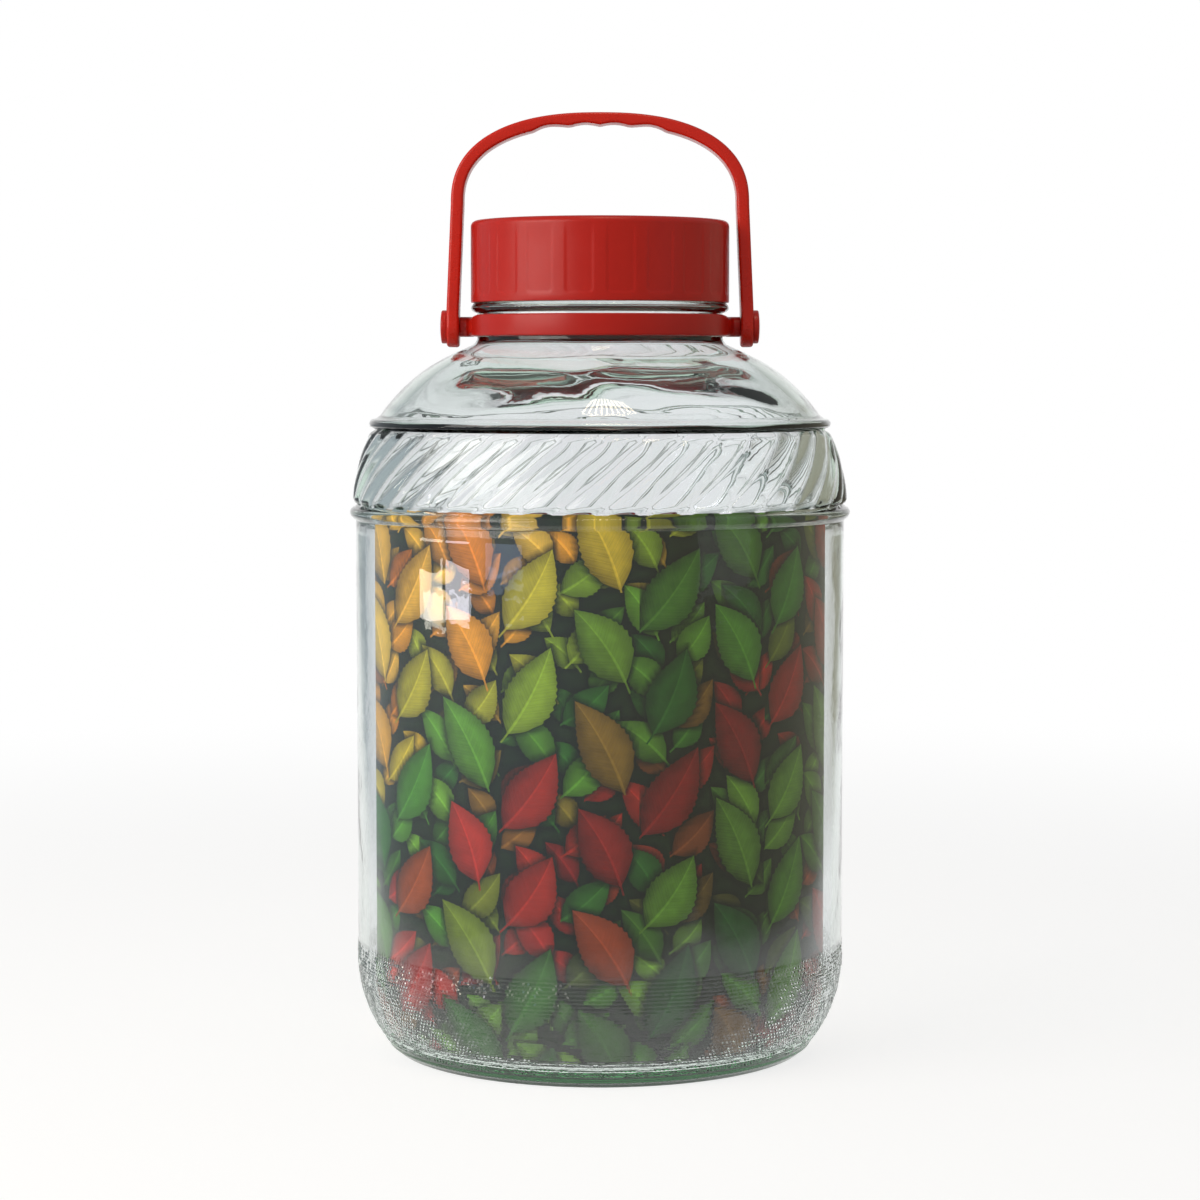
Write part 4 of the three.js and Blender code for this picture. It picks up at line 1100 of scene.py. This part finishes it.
cap = revolved("screw_cap_moulding", [
    (radius, height, cap_segments if radius > cap_inside_radius + 0.3 and height < cap_height - 0.1 else
     cap_segments // 2) for radius, height in cap_section()], 35)
mark(cap, "on_skirt", lambda r, z: (r > cap_radius - 0.1) *
     np.clip((cap_height - cap_edge_radius - z) / grip_fade, 0, 1))
mark(cap, "on_inside", lambda r, z: (r < cap_inside_radius + 0.1) * (r > cap_inside_radius - 0.1) *
     (z > cap_bottom + 1) * (z < cap_inside_height - 2))
shape_with(cap, moulded_cap(screw_thread), {
    "Grip Count": float(grip_count), "Grip Half Width": grip_half_width * MM,
    "Grip Bottom": grip_bottom * MM, "Grip Top": cap_height * MM, "Grip Corner": grip_corner * MM,
    "Grip Depth": grip_depth * MM, "Grip Ramp": grip_ramp * MM, "Skirt Radius": cap_radius * MM,
    "Thread Start": cap_thread_bottom * MM, "Thread Pitch": thread_pitch * MM,
    "Thread Turns": cap_thread_turns, "Thread Height": thread_height * MM,
    "Root Width": thread_root_width * MM, "Crest Width": thread_crest_width * MM, "Run-out": thread_runout,
    "Plastic": moulded_polypropylene("glossy_red_polypropylene_cap", "#cf2112", "#c51c0f", 0.3,
                                     (1, 1, 0.3), 0.1),
}, 35)
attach(cap, "cap")
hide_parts("screw_cap")

# SEALING DISC
# A die-cut disc of white closed-cell polyethylene foam, pressed into the top of the cap. The
# glass rim has set a shallow ring in its underside.
seal_radius = cap_inside_radius - 0.4
seal_edge_round = 0.3
rim_mark_depth = 0.16
rim_mark_edges = (0.5, 3.9)
rim_mark_slope = 0.7
cell_size = 0.8
cell_depth = 0.12


def seal_section():
    """The disc's outline from the middle of its top out, down and back."""
    top = seal_bottom + seal_thickness
    edge = seal_radius - seal_edge_round
    pressed = seal_bottom + rim_mark_depth
    inner, outer = (mouth_radius + edge_of_mark for edge_of_mark in rim_mark_edges)
    rim_mark = [(outer, seal_bottom), (outer - rim_mark_slope, pressed),
                (inner + rim_mark_slope, pressed), (inner, seal_bottom)]
    return ([(0, top), (30, top)] + arc((edge, top - seal_edge_round), seal_edge_round, quarter, 0, 3) +
            arc((edge, seal_bottom + seal_edge_round), seal_edge_round, 0, -quarter, 3) + rim_mark +
            [(30, seal_bottom), (0, seal_bottom)])


def polyethylene_foam():
    """Closed-cell polyethylene foam: soft white, matt, with cells under a millimetre across."""
    material, tree = blank_material("closed_cell_polyethylene_foam")
    place = node(tree, "ShaderNodeTexCoord").outputs["Object"]
    cells = node(tree, "ShaderNodeTexVoronoi", named={"Vector": place, "Scale": 1 / (cell_size * MM)})
    tone = node(tree, "ShaderNodeMix", cells.outputs["Distance"], srgb("#e3dfd5"), srgb("#f1eee6"),
                data_type="RGBA")
    skin = node(tree, "ShaderNodeBump", named={"Strength": 0.8, "Distance": cell_depth * MM,
                                               "Height": cells.outputs["Distance"]})
    foam = node(tree, "ShaderNodeBsdfPrincipled",
                named={"Base Color": tone, "Roughness": 0.75, "Specular IOR Level": 0.3, "Normal": skin})
    node(tree, "ShaderNodeOutputMaterial", foam)
    return material


seal = revolved("foam_sealing_disc", [(*point, 180) for point in seal_section()])
seal.data.materials.append(polyethylene_foam())
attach(seal, "seal")
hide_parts("sealing_disc")

# NECK COLLAR
# A red moulded hoop that snaps over the bead into the groove of the neck and turns there. At
# each side it swells to an ear that draws in to a hollow round post for the pivot pin.
collar_inner = neck_radius + 0.4
collar_outer = collar_inner + 2.8
collar_bottom = groove_bottom + 0.4
collar_height = 10.8
collar_round = 0.9
collar_inner_round = 0.4
post_radius = 5.05
post_round = 0.5
post_bore_depth = 6.4
ear_half_width = 11
ear_taper = 2.4
ear_drop = 1.7
ears_reach = 26
slope_width = 3
pivot_height = collar_bottom + 4.8
arm_gap = 5.8
handle_thickness = 6.3
running_gap = 0.12
arm_inner = cap_radius + arm_gap
arm_outer = arm_inner + handle_thickness
post_end = arm_inner - running_gap
pin_radius = 3
bore_radius = pin_radius + seat_gap


def lofted(name, rings, sharp_degrees):
    """A closed mesh through rings of points, with a flat face at each end."""
    count = len(rings[0])
    faces = [list(range(count)), list(range(len(rings) * count - 1, (len(rings) - 1) * count - 1, -1))]
    for i in range(len(rings) - 1):
        low, high = i * count, (i + 1) * count
        faces += [[low + j, high + j, high + (j + 1) % count, low + (j + 1) % count] for j in range(count)]
    return mesh_object(name, [point for ring in rings for point in ring], faces, sharp_degrees)


def on_pivot(outline, side, segments):
    """Rings round the pivots' axis from (radius, distance from the middle) rows."""
    angles = np.arange(segments) * 2 * math.pi / segments
    return [[(side * along, radius * math.cos(a), pivot_height + radius * math.sin(a)) for a in angles]
            for radius, along in outline]


def bore(side, start, end):
    """A round hole on the pivots' axis, as a solid to cut away."""
    return lofted("bore", on_pivot([(bore_radius, start), (bore_radius, end)], side, 48), 40)


def joined(obj, others, operation, sharp_degrees):
    """Joins the other solids to a piece, or cuts them out of it, and keeps the plain mesh."""
    for other in others:
        modifier = obj.modifiers.new("join", "BOOLEAN")
        modifier.operation = operation
        modifier.solver = "EXACT"
        modifier.object = other
    mesh = bpy.data.meshes.new_from_object(obj.evaluated_get(bpy.context.evaluated_depsgraph_get()))
    obj.modifiers.clear()
    obj.data = mesh
    for other in others:
        bpy.data.objects.remove(other)
    smooth(mesh, sharp_degrees)


def post_on_ear(side):
    """The ear and its post, as rings from inside the hoop out to the end of the post."""
    root = (collar_inner + collar_outer) / 2
    ear_end = collar_outer + ear_taper
    rows = []
    for share in np.linspace(0, 1, 15):
        eased = share * share * (3 - 2 * share)
        half_width = ear_half_width + (post_radius - ear_half_width) * eased
        rows.append((root + (ear_end - root) * share, half_width, post_radius))
    for radius, along in arc((post_radius - post_round, post_end - post_round), post_round, 0, quarter, 4):
        rows.append((along, radius, radius))
    angles = np.arange(64) * 2 * math.pi / 64
    return lofted("post", [[(side * along, wide * math.cos(a), pivot_height + tall * math.sin(a))
                            for a in angles] for along, wide, tall in rows], 40)


def collar_section():
    """The hoop's closed outline with rounded edges."""
    top = collar_bottom + collar_height
    outline = []
    for radius, height, start in ((collar_outer, collar_bottom, -1), (collar_outer, top, 0)):
        centre = (radius - collar_round, height + (collar_round if start else -collar_round))
        outline += arc(centre, collar_round, start * quarter, (start + 1) * quarter, 5)
    inner = collar_inner + collar_inner_round
    outline += arc((inner, top - collar_inner_round), collar_inner_round, quarter, 2 * quarter, 3)
    return outline + arc((inner, collar_bottom + collar_inner_round), collar_inner_round, 2 * quarter,
                         3 * quarter, 3)


collar = revolved("neck_collar_moulding", [(*point, 288) for point in collar_section()], 35)
# The hoop's top edge slopes down to the ears.
for vertex in collar.data.vertices:
    x, y, z = vertex.co / MM
    if z > collar_bottom + collar_height / 2 and abs(y) < ears_reach:
        outwardness = min(max((math.hypot(x, y) - collar_inner) / slope_width, 0), 1)
        vertex.co.z -= ear_drop * outwardness * (1 - (y / ears_reach) ** 2) ** 2 * MM
joined(collar, [post_on_ear(side) for side in (-1, 1)], "UNION", 35)
joined(collar, [bore(side, post_end - post_bore_depth, post_end + 2) for side in (-1, 1)], "DIFFERENCE", 35)
collar.data.materials.clear()
collar.data.materials.append(
    moulded_polypropylene("glossy_red_polypropylene_collar", "#cd2013", "#c21c10", 0.3, (1, 1, 0.5), 0.1))
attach(collar, "collar")
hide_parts("neck_collar")

# PIVOT PINS
# Two red moulded pins with round, slightly domed heads. Each passes through an eye of the
# handle and is pressed into a post of the collar.
pin_head_radius = 8.4
pin_head_height = 2.78
pin_dome = 0.6
pin_edge_round = 0.9
pin_tip_chamfer = 0.8
pin_neck_round = 0.3
head_back_chamfer = 0.25


def pin_section():
    """The pin's outline from its tip in the post to the middle of its head."""
    tip = post_end - post_bore_depth + 0.4
    head = arm_outer + running_gap
    top = head + pin_head_height
    outline = [(0.01, tip), (pin_radius - pin_tip_chamfer, tip), (pin_radius, tip + pin_tip_chamfer),
               (pin_radius, head - pin_neck_round), (pin_radius + pin_neck_round, head),
               (pin_head_radius - head_back_chamfer, head), (pin_head_radius, head + head_back_chamfer)]
    flat_radius = pin_head_radius - pin_edge_round
    outline += arc((flat_radius, top - pin_edge_round), pin_edge_round, 0, quarter, 5)
    outline += [(radius, top + pin_dome * (1 - (radius / flat_radius) ** 2))
                for radius in (6.6, 5.4, 4.2, 3, 1.6, 1.2, 0.9)]
    # The plastic's gate left a dimple in the middle of the dome.
    return outline + [(0.8, top + pin_dome - 0.35), (0.01, top + pin_dome - 0.4)]


for side, label in ((-1, "left"), (1, "right")):
    pin = lofted(f"pin_{label}", on_pivot(pin_section(), side, 72), 35)
    pin.data.materials.append(moulded_polypropylene(
        f"glossy_red_polypropylene_pin_{label}", "#d02213", "#c61d10", 0.27, (0.5, 1, 1), 0.1))
    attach(pin, "collar")
    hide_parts(f"pivot_pin_{label}")

# CARRYING HANDLE
# One springy strap of red moulded polypropylene that arches over the cap, with four finger
# hollows under its grip. Its arms lean out a little and end in upright round eyes on the pins.
grip_width = 18
eye_radius = 10.3
strap_end_width = 19.4
strap_round = 1.5
arm_lean = 2.4
arm_height = 61.5
upright_end = 8
arch_rise = 45.7
arch_power = 2.4
arch_points = 76
arch_crowding = 1.12
eye_steps = 22
eye_end = math.radians(86)
finger_pitches = (15.4, 19.4)
finger_depth = 1.1
outer_finger_depth = 1.5
outer_finger_skew = 1.3


def arch_line():
    """Points (across, height) along the outside of the strap, from the middle to the right eye."""
    half_span = arm_outer - arm_lean
    springing = pivot_height + arm_height
    line = []
    for angle in np.linspace(quarter, 0, arch_points) ** arch_crowding / quarter ** (arch_crowding - 1):
        line.append((half_span * math.cos(angle) ** (2 / arch_power),
                     springing + arch_rise * math.sin(angle) ** (2 / arch_power)))
    line[0] = (0, springing + arch_rise)
    lean_ends = 1 - upright_end / arm_height
    for share in np.linspace(0, 1, 19)[1:]:
        line.append((half_span + arm_lean * min(share / lean_ends, 1), springing - arm_height * share))
    return line


def finger_hollow(across):
    """How far the finger hollows cut into the underside of the grip."""
    reach = abs(across)
    first, second = finger_pitches
    if reach >= first + second:
        return 0
    if reach < first:
        return finger_depth * math.sin(math.pi * reach / first)
    share = (reach - first) / second
    return outer_finger_depth * math.sin(math.pi * share ** outer_finger_skew)


def strap_ring(outer, out, half_width, thickness, hollow):
    """One section of the strap, its corners rounded, hung from a point of its outer line."""
    ring = []
    along_inside = thickness - hollow
    corner = min(strap_round, half_width * 0.6, along_inside * 0.45)
    for depth, side, start in ((0, 1, 0), (0, -1, 1), (along_inside, -1, 2), (along_inside, 1, 3)):
        centre_depth = depth + (corner if depth == 0 else -corner)
        centre_side = side * (half_width - corner)
        for k in range(7):
            angle = quarter * (start + k / 6)
            across_strap = centre_side + corner * math.cos(angle)
            into_strap = centre_depth - corner * math.sin(angle)
            ring.append((outer[0] - out[0] * into_strap, across_strap, outer[1] - out[1] * into_strap))
    return ring


def strap_rings():
    """All sections of the strap, from the bottom of the left eye to the bottom of the right."""
    line = arch_line()
    top = line[0][1]
    right = []
    for i, (across, height) in enumerate(line):
        before = line[i - 1] if i else (-line[1][0], line[1][1])
        after = line[min(i + 1, len(line) - 1)]
        heading = Vector((after[0] - before[0], after[1] - before[1])).normalized()
        if i == len(line) - 1:
            heading = Vector((0, -1))
        share = (height - pivot_height) / (top - pivot_height)
        half_width = (strap_end_width + (grip_width - strap_end_width) * share) / 2
        rise = height - pivot_height
        if rise < eye_radius:
            half_width = max(half_width, math.sqrt(eye_radius ** 2 - rise ** 2))
        right.append(strap_ring((across, height), (-heading.y, heading.x), half_width, handle_thickness,
                                finger_hollow(across)))
    for angle in np.linspace(0, eye_end, eye_steps)[1:]:
        fall = eye_radius * math.sin(angle)
        short = max(0, strap_round - (eye_radius - fall))
        drawn_in = strap_round - math.sqrt(strap_round ** 2 - short ** 2)
        right.append(strap_ring((arm_outer - drawn_in, pivot_height - fall), (1, 0),
                                eye_radius * math.cos(angle), handle_thickness - 2 * drawn_in, 0))
    left = [[(-x, y, z) for x, y, z in ring] for ring in right[:0:-1]]
    return left + right


handle = lofted("carrying_handle_moulding", strap_rings(), 40)
joined(handle, [bore(side, arm_inner - 2, arm_outer + 2) for side in (-1, 1)], "DIFFERENCE", 40)
handle.data.materials.clear()
# The handle's red is set a little brighter than the cap's same plastic: painted light from above.
handle.data.materials.append(
    moulded_polypropylene("glossy_red_polypropylene_handle", "#e32a17", "#d92413", 0.26, (0.3, 1, 1), 0.1))
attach(handle, "handle")
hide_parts("carry_handle")
